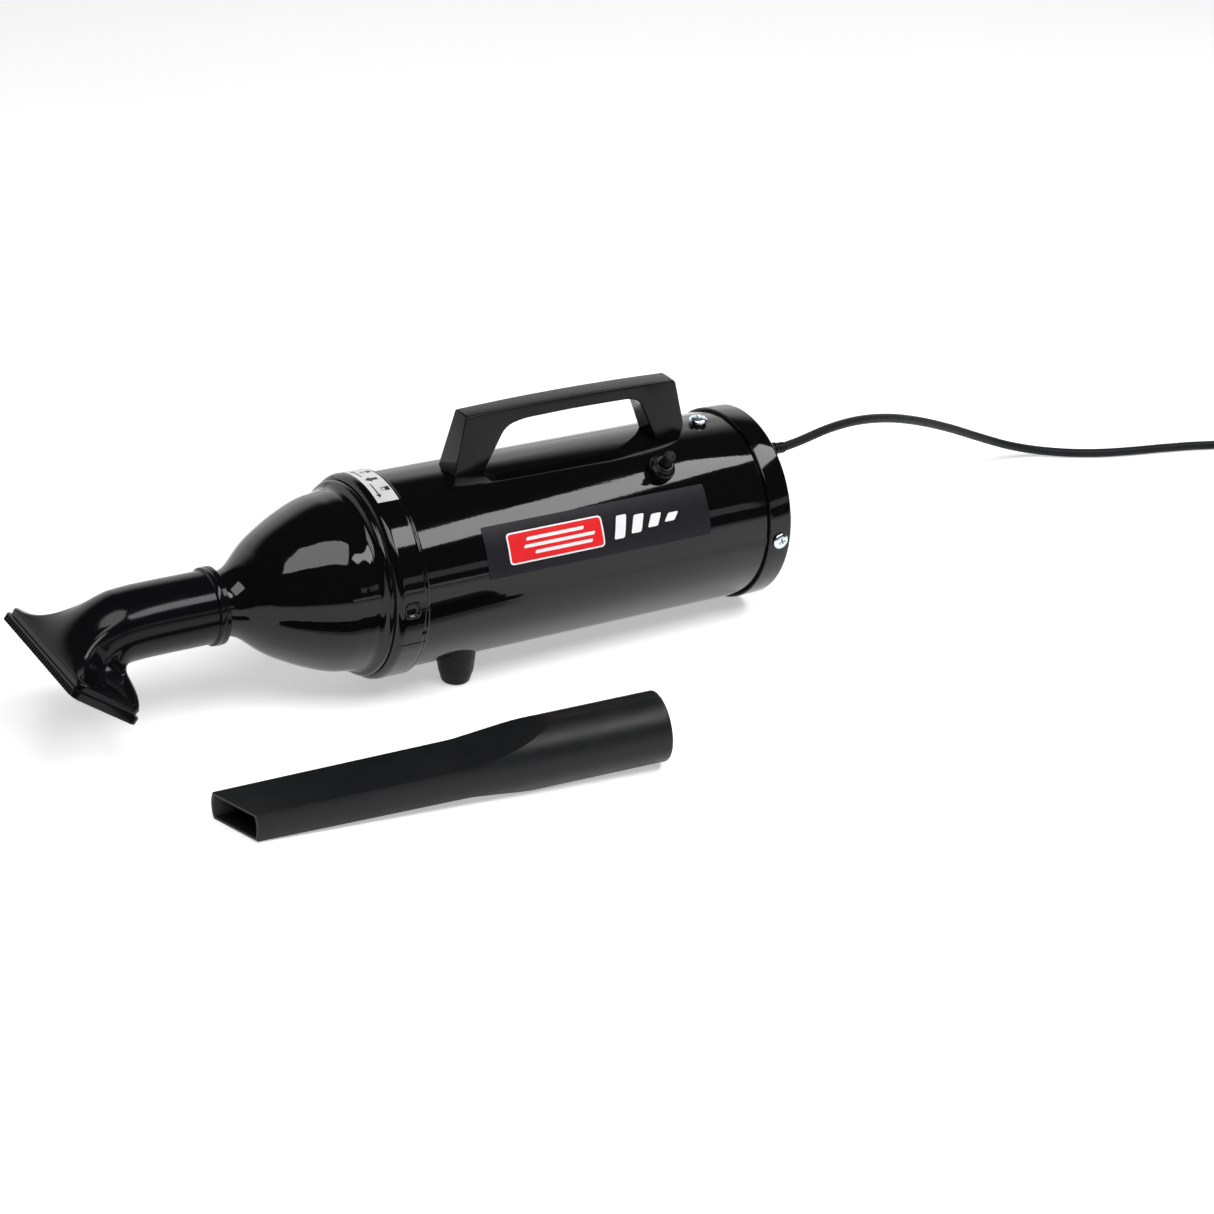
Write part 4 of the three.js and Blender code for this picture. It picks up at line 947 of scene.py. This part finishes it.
def lockRing():
    outer, wall, centre = ring["radius"], ring["wall"], ring["radius"] - ring["shoulder"]
    rear, front, steps = ring["rear"], ring["rear"] - ring["band"], 26
    outline = [(0.0, outer - 0.75), (-0.12, outer - 0.3), (-0.4, outer - 0.06), (-0.9, outer + 0.05)]
    outline += [(-1.5, outer - 0.02), (-2.0, outer - 0.22), (-2.4, outer - 0.14), (-2.7, outer - 0.02)]
    outline = [(x + rear, r) for x, r in outline]
    outline += [(rear - 3 - (ring["band"] - 3) * k / steps, outer) for k in range(steps + 1)]
    reach = math.acos((50.5 - centre) / ring["shoulder"])
    arc = [reach * k / 14 for k in range(1, 15)]
    outline += [(front - ring["shoulder"] * math.sin(a), centre + ring["shoulder"] * math.cos(a)) for a in arc]
    thin = ring["shoulder"] - wall
    outline += [(front - thin * math.sin(0.86 * a), centre + thin * math.cos(0.86 * a)) for a in arc[::-1]]
    outline += [(front + (rear - front) * k / steps, outer - wall) for k in range(steps + 1)]
    piece = spun("lockRing", outline, enamel, ringAngles(), sharp=60, shift=ringDent)
    seat(piece, "nose", "enamel", "lock_ring")
    half, inner = ring["lug"] / 2, tube["radius"] - tube["wall"] - 0.8
    for side, word in ((0, "Near"), (180, "Far")):
        place = housing @ Matrix.Rotation(math.radians(ring["pocket"][0] + side), 4, "X")
        place = place @ Matrix.Translation((-10.5, 0, 0))
        rings = [[(x, y, z) for x, y in softOblong(half, half, 5, 32)] for z in (inner, outer - 2.2)]
        lug = bevelled(lofted("lockLug" + word, rings, enamel, place, hollow=False), 0.4, 2, 50)
        seat(lug, "nose", "enamel")


noseDome()
lockRing()


bag = {
    "neck": -78.7,
    "creases": 18,
    "stations": ((0, 12.4), (8, 20), (18, 29), (32, 36), (54, 39.6), (80, 39), (99, 34), (108, 24), (111.6, 9)),
}


def dustBag():
    outer = [(bag["neck"] + back, r) for back, r in curved(bag["stations"], 5)]
    end = (bag["neck"] + 112.3, 0)
    inner = [(x, r - 0.8) for x, r in outer[::-1]]
    outline = [*outer, end, (end[0] - 0.8, 0), *inner[1:]]

    def crease(x, r, degrees):
        along = (x - bag["neck"]) / 112
        depth = 1.5 * math.sin(math.pi * min(1, max(0, along))) ** 0.7
        a = math.radians(degrees)
        fold = math.cos(bag["creases"] * a + 2.4 * math.sin(3 * a) + 5 * along)
        ripple = math.sin(7 * a - 16 * along) * math.sin(23 * along + 2 * a)
        return x, r - depth * (0.45 + 0.4 * fold + 0.25 * ripple) * min(1, r / 14)

    seat(spun("dustBag", outline, bagPaper, 240, sharp=70, shift=crease), "nose", "bag_paper", "dust_bag")
    front = bag["neck"] - 4.3
    collar = [(front, 11.6, 0.3), (front, 15.5, 0.8), (front + 1.2, 15.5, 0.4), (front + 1.5, 14.2, 0.3)]
    collar += [(front + 3.9, 14.2, 0.4), (front + 3.9, 11.6, 0.2)]
    seat(spun("bagCollar", eased(collar, 3), whitePlastic, 96), "nose", "white_plastic", "bag_collar")


dustBag()
print("nose, ring and bag shaped")


# Label on the ring, with its arrows

label = {"from": -21, "to": 21, "front": -12.7, "rear": -0.9, "radius": 53.28, "film": 0.1}


def ringLabel():
    radius, film = label["radius"], label["film"]
    sheet = [(label["from"], label["front"]), (label["from"], label["rear"])]
    sheet += [(label["to"], label["rear"]), (label["to"], label["front"])]
    seat(wrapped("ringLabel", [sheet], radius, film, labelFilm), "nose", "label_film", "lock_label")

    def arrow(tail, tip, x):
        way = 1 if tip > tail else -1
        neck = tip - way * 2.6
        half = [(tail, -0.36), (neck, -0.36), (neck - 0.3 * way, -1.5)]
        return [(a, x + across) for a, across in half] + [(tip, x)] + [(a, x - across) for a, across in half[::-1]]

    def stroke(a0, a1, x0, x1):
        return [(a0, x0), (a1, x0), (a1, x1), (a0, x1)]

    def padlock(a, x, opened):  # a body and a shackle of three strokes
        lift = 0.9 if opened else 0
        return [
            stroke(a - 1.7, a + 1.7, x - 0.3, x + 2.1),
            stroke(a - 1.35, a - 0.85, x - 1.8 - lift, x - 0.3 - lift * 0.2),
            stroke(a + 0.85, a + 1.35, x - 1.8 - lift, x - 0.3 - lift),
            stroke(a - 1.35, a + 1.35, x - 2.3 - lift, x - 1.8 - lift),
        ]

    marks = [arrow(4.8, 17.6, -9.6), arrow(-4.8, -17.6, -9.6)]
    marks += padlock(11, -4.0, False) + padlock(-11, -4.0, True)
    marks += [[(-2.9, -6.8), (0, -10.2), (2.9, -6.8), (1.3, -6.8), (1.3, -3.2), (-1.3, -3.2), (-1.3, -6.8)]]
    seat(wrapped("ringLabelMarks", marks, radius + film, 0.03, blackInk, 0.5), "nose", "label_film")


ringLabel()


# Decal on the side, with a plain striped panel and strokes in place of lettering

decal = {
    "sheet": (46.8, 77, 36.2, 170, 1.0),  # from and to in degrees, front and rear, corner
    "border": (53.0, 71.4, 48.8, 105.2, 2.6),
    "panel": (53.9, 70.5, 49.7, 104.3, 1.9),
    "streaks": ((60, 94), (58, 100), (64, 98)),  # front and rear of each
    "streakAt": 57.2,
    "streakStep": 4.1,
    "bars": ((55.4, 68.8), (56.9, 67.3), (58.4, 65.8), (59.7, 64.5)),  # from and to in degrees
    "barAt": 112.5,
    "barStep": 10.4,
    "radius": 50.86,
    "film": 0.12,
    "ink": 0.02,
}


def roundedPanel(a0, a1, x0, x1, corner, radius, slant=0.0):
    degree = math.degrees(1 / radius)
    s0, s1 = a0 / degree, a1 / degree
    corners = [(s0, x0 + slant, corner), (s0, x1 + slant, corner), (s1, x1 - slant, corner), (s1, x0 - slant, corner)]
    return [(s * degree, x) for s, x in eased(corners, 5)]


def sideDecal():
    radius, film, ink = decal["radius"], decal["film"], decal["ink"]
    strokes = []
    for row, (x0, x1) in enumerate(decal["streaks"]):
        a = decal["streakAt"] + decal["streakStep"] * row
        strokes.append(roundedPanel(a, a + 1.9, x0, x1, 0.9, radius, 0.35))
    for k, (low, high) in enumerate(decal["bars"]):
        x = decal["barAt"] + decal["barStep"] * k
        strokes.append(roundedPanel(low, high, x, x + 6.2, 1.1, radius, 1.6))
    sheet = roundedPanel(*decal["sheet"], radius)
    seat(wrapped("sideDecal", [sheet], radius, film, decalFilm), "housing", "decal_film", "body_decal")
    layers = (
        ("decalBorder", [roundedPanel(*decal["border"], radius)], whiteInk),
        ("decalPanel", [roundedPanel(*decal["panel"], radius)], redInk),
        ("decalStrokes", strokes, whiteInk),
    )
    for k, (name, shapes, finish) in enumerate(layers):
        seat(wrapped(name, shapes, radius + film + k * ink, ink, finish), "housing", "decal_film")


sideDecal()
print("label and decal laid")


# Pick-up nozzle

nozzle = {
    "tube": 18.5,
    "wall": 1.6,
    "rear": -91,
    "path": (  # x, z, degrees turned down, half width, half depth
        (-96.8, 0, 0, 18.5, 18.5), (-110, 0, 0, 18.5, 18.5), (-122, 0, 0, 18.5, 18.5),
        (-133, -0.2, 4, 18.5, 18.5), (-141, -0.8, 10, 18.5, 18.5),
    ),
    "mouth": (-168.4, -19.7),
    "turn": 54.3,
    "halfWidth": 44.2,
    "halfDepth": 20.25,
    "flange": 8,
    "step": 1.4,
    "across": 168,  # points round each section
    "throat": (17.5, 17.6, 11),  # half width, half depth, height over the mouth
    "ahead": 13,  # how far the tube's direction is kept into the hood
    "teeth": 36,
}


def mouthFrame():
    turn = math.radians(nozzle["turn"])
    up = Vector((math.cos(turn), 0, math.sin(turn)))
    back = Vector((math.sin(turn), 0, -math.cos(turn)))
    x, z = nozzle["mouth"]
    return Vector((x, 0, z)), up, back


def squareRing(halfWidth, halfDepth, corner):  # the section at the mouth, its points spread round by direction
    perCorner = nozzle["across"] // 8
    perSide = (nozzle["across"] - 4 * perCorner) // 4
    w, d, outline = halfWidth - corner, halfDepth - corner, []
    quarters = ((1, 1), (-1, 1), (-1, -1), (1, -1))

    def onCorner(q, turns):
        a, (side, depth) = turns * math.pi / 2, quarters[q % 4]
        return side * w + corner * math.cos(a), depth * d + corner * math.sin(a)

    for q in range(4):
        outline += [onCorner(q, q + k / (perCorner - 1)) for k in range(perCorner)]
        here, there = onCorner(q, q + 1), onCorner(q + 1, q + 1)
        for t in ((k + 1) / (perSide + 1) for k in range(perSide)):
            outline.append((here[0] + (there[0] - here[0]) * t, here[1] + (there[1] - here[1]) * t))
    return outline


def directions():  # the angle of each point of the mouth's section, which the round sections share
    ringPoints = squareRing(nozzle["halfWidth"], nozzle["halfDepth"], 5)
    stretch = nozzle["halfDepth"] / nozzle["halfWidth"] * 1.25
    return [math.atan2(d, w * stretch) for w, d in ringPoints]


def ductRing(x, z, turn, halfWidth, halfDepth, shrink=0.0):
    a = math.radians(turn)
    down = Vector((math.sin(a), 0, -math.cos(a)))
    middle = Vector((x, 0, z))
    return [
        middle + down * ((halfDepth - shrink) * math.sin(t)) + sideways * ((halfWidth - shrink) * math.cos(t))
        for t in directions()
    ]


def mouthRing(height, halfWidth, halfDepth, corner):
    middle, up, back = mouthFrame()
    centre = middle + up * height
    return [centre + sideways * w + back * d for w, d in squareRing(halfWidth, halfDepth, corner)]


def hoodRing(t, shrink=0.0):  # between the tube's bend and the lip, narrow for most of its height
    middle, up, back = mouthFrame()
    wide, deep = nozzle["halfWidth"] - nozzle["step"], nozzle["halfDepth"] - nozzle["step"]
    begin = ductRing(*nozzle["path"][-1], shrink)
    turn = math.radians(nozzle["path"][-1][2])
    ahead = Vector((-math.cos(turn), 0, -math.sin(turn))) * nozzle["ahead"]
    throatWidth, throatDepth, height = nozzle["throat"]
    throat = mouthRing(height, throatWidth - shrink, throatDepth - shrink, 7)
    end = mouthRing(nozzle["flange"] - shrink, wide - shrink, deep - shrink, 5)
    weights = ((1 - t) ** 3, 3 * (1 - t) ** 2 * t, 3 * (1 - t) * t * t, t**3)
    points = []
    for a, c, d in zip(begin, throat, end):
        depth = (d - middle).dot(back) / deep
        rearward = max(0.0, depth)
        c = Vector((c.x, c.y * (1 + 1.05 * rearward), c.z)) + up * (7 * rearward) + back * (1.5 * rearward)
        point = a * weights[0] + (a + ahead) * weights[1] + c * weights[2] + d * weights[3]
        side = smooth(wide - 4.5, wide - 1.5, abs(d.y))  # the sunk panel on each flank
        side *= 1 - smooth(0.7, 0.82, abs(depth))
        side *= smooth(0.44, 0.52, t) * (1 - smooth(0.92, 0.96, t))
        inward = -math.copysign(1.0, d.y)
        points.append(point + (sideways * inward * 0.85 - up * 0.5) * (1.4 * side))
    return points


def pickupNozzle():
    wide, deep, flange, step = nozzle["halfWidth"], nozzle["halfDepth"], nozzle["flange"], nozzle["step"]
    rear, tubeRadius = nozzle["rear"], nozzle["tube"]
    collar = [(0, 1.0), (0.35, 1.4), (2.5, 1.5), (2.8, 1.25), (3.1, 1.45), (5.2, 1.3), (5.6, 0.9), (5.7, 0.1)]
    outer = [ductRing(rear, 0, 0, 16.9, 16.9)]
    outer += [ductRing(rear - ahead, 0, 0, tubeRadius + proud, tubeRadius + proud) for ahead, proud in collar]
    outer += [ductRing(*station) for station in curved(nozzle["path"], 6)]
    outer += [hoodRing(k / 40) for k in range(1, 40)]
    for below, proud in ((0.1, -0.1), (0.6, 0.3), (1.2, 0.4)):
        outer.append(mouthRing(flange - below, wide - step + proud, deep - step + proud, 5))
    outer.append(mouthRing(4.4, wide - step, deep - step, 4.4))
    for height, less in ((4.1, 0.5), (3.8, 0.1), (3.3, 0), (0.35, 0), (0, 0.35)):
        outer.append(mouthRing(height, wide - less, deep - less, 4))
    wall = nozzle["wall"]
    inner = [mouthRing(0, wide - step - wall + 0.2, deep - step - wall + 0.2, 3)]
    inner += [mouthRing(h, wide - step - wall, deep - step - wall, 3) for h in (0.4, 3, flange - wall - 0.3)]
    inner += [hoodRing(1 - k / 10, wall) for k in range(1, 10)]
    inner += [ductRing(x, z, turn, w, d, wall) for x, z, turn, w, d in curved(nozzle["path"], 2)[::-1]]
    inner += [ductRing(rear - 0.4, 0, 0, 16.7, 16.7)]
    body = lofted("pickupNozzle", outer + inner, glossPlastic, housing, 40)
    seat(body, "nozzle", "gloss_plastic", "pickup_nozzle")
    seam()
    teeth()


def seam():  # the mould's parting line along both sides of the tube
    radius = nozzle["tube"]
    profile = [(radius - 0.3, -0.16), (radius - 0.3, 0.16), (radius + 0.1, 0.0)]
    corners = [(r, math.radians(97) + offset / radius) for r, offset in profile]
    for side, word in ((-1, "Near"), (1, "Far")):
        rings = []
        for x in (-96.9 - 38 * k / 12 for k in range(13)):
            rings.append([(x, side * r * math.sin(a), r * math.cos(a)) for r, a in corners])
        line = lofted("nozzleSeam" + word, rings, glossPlastic, hollow=False)
        seat(line, "nozzle", "gloss_plastic")


def teeth():  # rounded rack teeth along the front lip
    middle, up, back = mouthFrame()
    profile = [(0.95 * math.cos(a), 1.0 * math.sin(a)) for a in (math.pi * k / 6 for k in range(7))]
    corner = middle + up * 0.2 - back * (nozzle["halfDepth"] - 0.35)
    rings = []
    for along in (0.0, 3.0):
        rings.append([up * along + sideways * s - back * t for s, t in profile])
    tooth = lofted("tooth", rings, glossPlastic, plain, hollow=False)
    count, reach = nozzle["teeth"], nozzle["halfWidth"] - 4.6
    row = rowOfCopies.grown(
        "lipTeeth",
        glossPlastic,
        copy=tooth,
        count=count,
        start=tuple(corner - sideways * reach),
        step=tuple(sideways * (2 * reach / (count - 1))),
    )
    bpy.data.objects.remove(tooth)
    seat(row, "nozzle", "gloss_plastic")


pickupNozzle()
print("nozzle moulded")


# Crevice tool, in millimetres from the middle of its socket's mouth

crevice = {
    "mouth": (84.5, -137.6),
    "yaw": -8.7,
    "socket": 18,
    "wall": 1.7,
    "length": 225,
    "blade": (28.9, 15),
    "mitre": 14.6,
    "scoop": (60, 104),
}


def creviceTool():
    radius, length, (bladeWidth, bladeDepth) = crevice["socket"], crevice["length"], crevice["blade"]
    slope = (radius - bladeDepth / 2) / length
    pitch = math.atan(slope)
    place = bench @ Matrix.Translation((*crevice["mouth"], radius * math.cos(pitch)))
    place = place @ Matrix.Rotation(math.radians(crevice["yaw"]), 4, "Z") @ Matrix.Rotation(-pitch, 4, "Y")
    begin, end = crevice["scoop"]

    def halfWidth(along):
        return radius - 0.35 * smooth(0, 60, along) - 1.4 * smooth(begin, 112, along) - 1.7 * max(0, along - 100) / 125

    def clip(along):
        fall = min(1.0, max(0.0, (along - begin) / (end - begin)))
        ease = fall + 0.12 * math.sin(math.pi * fall)
        deep = bladeDepth / 2 + 0.5 * (1 - max(0, along - end) / (length - end))
        return (radius - 0.15) + (deep - radius + 0.15) * ease

    def section(along, shrink, tip):
        w, h, r = halfWidth(along) - shrink, clip(along) - shrink, radius - shrink
        lower = min(h, radius - along * slope - shrink)

        def level(z):  # the angle at which the side meets a flat at z, and the points across it
            edge = math.asin(min(1, z / r))
            if z < r:
                return edge, [w * math.cos(edge) * (2 * k / 14 - 1) for k in range(15)]
            return edge, [w * math.cos(math.pi - edge - (math.pi - 2 * edge) * k / 14) for k in range(15)]

        (upEdge, above), (downEdge, below) = level(h), level(lower)
        rise = [(w * math.cos(a), r * math.sin(a)) for a in (upEdge * k / 14 for k in range(1, 14))]
        fall = [(w * math.cos(a), -r * math.sin(a)) for a in (downEdge * k / 14 for k in range(1, 14))]
        points = [(y, h) for y in above] + rise[::-1] + fall + [(y, -lower) for y in below[::-1]]
        points += [(-y, z) for y, z in fall[::-1] + rise]
        return [(-(along + tip * (y / bladeWidth - 0.5) * crevice["mitre"]), y, z) for y, z in points]

    stops = [0.0, 0.3, 0.8, 3, 20, 40, 52]
    stops += [begin - 1 + (end - begin + 2) * k / 26 for k in range(27)] + [112, 122, 136, 152, 170]
    rings = [section(along, {0: 0.5, 1: 0.18}.get(k, 0.0), 0.0) for k, along in enumerate(stops)]
    tips = [(184, 0.25), (198, 0.5), (211, 0.78), (224.6, 1.0), (225, 1.0)]
    rings += [section(along, 0.25 if along == 225 else 0.0, tip) for along, tip in tips]
    wall = crevice["wall"]
    rings += [section(along, wall - (0.25 if along == 225 else 0), tip) for along, tip in tips[::-1]]
    rings += [section(along, wall, 0.0) for along in stops[::-1][:-3]]
    rings += [section(0.0, wall - 0.4, 0.0)]
    piece = lofted("creviceTool", rings, satinPlastic, place, 34)
    return seat(piece, "crevice_tool", "satin_plastic", "crevice_tool")


creviceTool()
print("crevice tool moulded")


# Carried-over inner pieces

inside = {
    rubber: ("nose_gasket", "mount_ring_front", "mount_ring_rear"),
    steel: ("inlet_guard", "fan_nut", "fan_spacer", "motor_shaft", "bearing_front", "bearing_rear", "motor_bolt_a"),
    aluminium: ("fan_shroud", "fan_first", "diffuser", "fan_second", "bracket_front", "bracket_rear"),
    lamination: ("stator_core", "armature_core"),
    winding: ("field_coil_top", "field_coil_bottom", "armature_windings"),
    copper: ("commutator",),
    brass: ("brush_holder_near", "brush_holder_far"),
    carbon: ("carbon_brush_near", "carbon_brush_far"),
    zinc: ("brush_spring_near", "brush_spring_far", "motor_bolt_b"),
}
for finish, names in inside.items():
    for name in names:
        node = frame["nodes"][name]
        node.data.materials.clear()
        node.data.materials.append(finish.material)
print("inner pieces finished")


# Bench and light

studio = {
    "bench": 6.0,
    "glow": 0.45,
    "boxes": (  # name, place, aim, width, height, radiance
        ("overheadBox", (0.75, -0.62, 1.35), (0.02, 0.05, 0.05), 1.5, 0.42, 9.0),
        ("noseBox", (-0.5, -0.62, 1.7), (-0.06, 0.05, 0.05), 1.25, 0.95, 5.5),
        ("sideBox", (0.95, -1.75, 0.5), (0.05, 0.05, 0.05), 1.5, 0.22, 0.9),
        ("lowBox", (0.5, -2.2, 0.12), (0.05, 0.05, 0.05), 1.6, 0.1, 1.6),
    ),
    "backdrop": 1.25,
    "sky": 0.035,
}


def backdrop(world):  # bright behind the bench and fading upwards
    world.use_nodes = True
    tree = world.node_tree
    parts = addNode(tree, "ShaderNodeSeparateXYZ")
    both = addNode(tree, "ShaderNodeMath", operation="MULTIPLY")
    level = addNode(tree, "ShaderNodeMath", operation="MULTIPLY_ADD")
    tree.links.new(addNode(tree, "ShaderNodeTexCoord").outputs["Generated"], parts.inputs[0])
    for k, (socket, low, high, dim, bright) in enumerate((("Z", 0.4, 0.66, 1.0, 0.0), ("Y", 0.15, 0.5, 0.0, 1.0))):
        fade = addNode(tree, "ShaderNodeMapRange", from_min=low, from_max=high, to_min=dim, to_max=bright)
        fade.interpolation_type = "SMOOTHSTEP"
        tree.links.new(parts.outputs[socket], fade.inputs["Value"])
        tree.links.new(fade.outputs["Result"], both.inputs[k])
    tree.links.new(both.outputs[0], level.inputs[0])
    level.inputs[1].default_value, level.inputs[2].default_value = studio["backdrop"], studio["sky"]
    shade = tree.nodes["Background"]
    shade.inputs["Color"].default_value = (1, 1, 1, 1)
    tree.links.new(level.outputs[0], shade.inputs["Strength"])


def lightStudio():
    size = studio["bench"]
    corners = [(-size, -size), (size, -size), (size, size), (-size, size)]
    paper = Finish("benchPaper", (0.86, 0.86, 0.86), 0.85, specular_ior_level=0.1)
    paper.shader.inputs["Emission Color"].default_value = (1, 1, 1, 1)
    paper.shader.inputs["Emission Strength"].default_value = studio["glow"]
    paper.tint(paper.noise(3, 2), (0.85, 0.85, 0.85), (0.87, 0.87, 0.87))
    floor = bpy.data.meshes.new("benchTop")
    floor.from_pydata([(x, y, -0.0002) for x, y in corners], [], [(0, 1, 2, 3)])
    floor.materials.append(paper.material)
    linked("benchTop", floor)
    for name, place, aim, width, height, radiance in studio["boxes"]:
        data = bpy.data.lights.new(name, "AREA")
        data.shape, data.size, data.size_y = "RECTANGLE", width, height
        data.energy = radiance * math.pi * width * height
        linked(name, data).matrix_world = aimed(place, aim)
    world = bpy.data.worlds.new("studio")
    backdrop(world)
    scene.world = world
    scene.view_settings.view_transform = "Standard"


lightStudio()
print("bench lit")
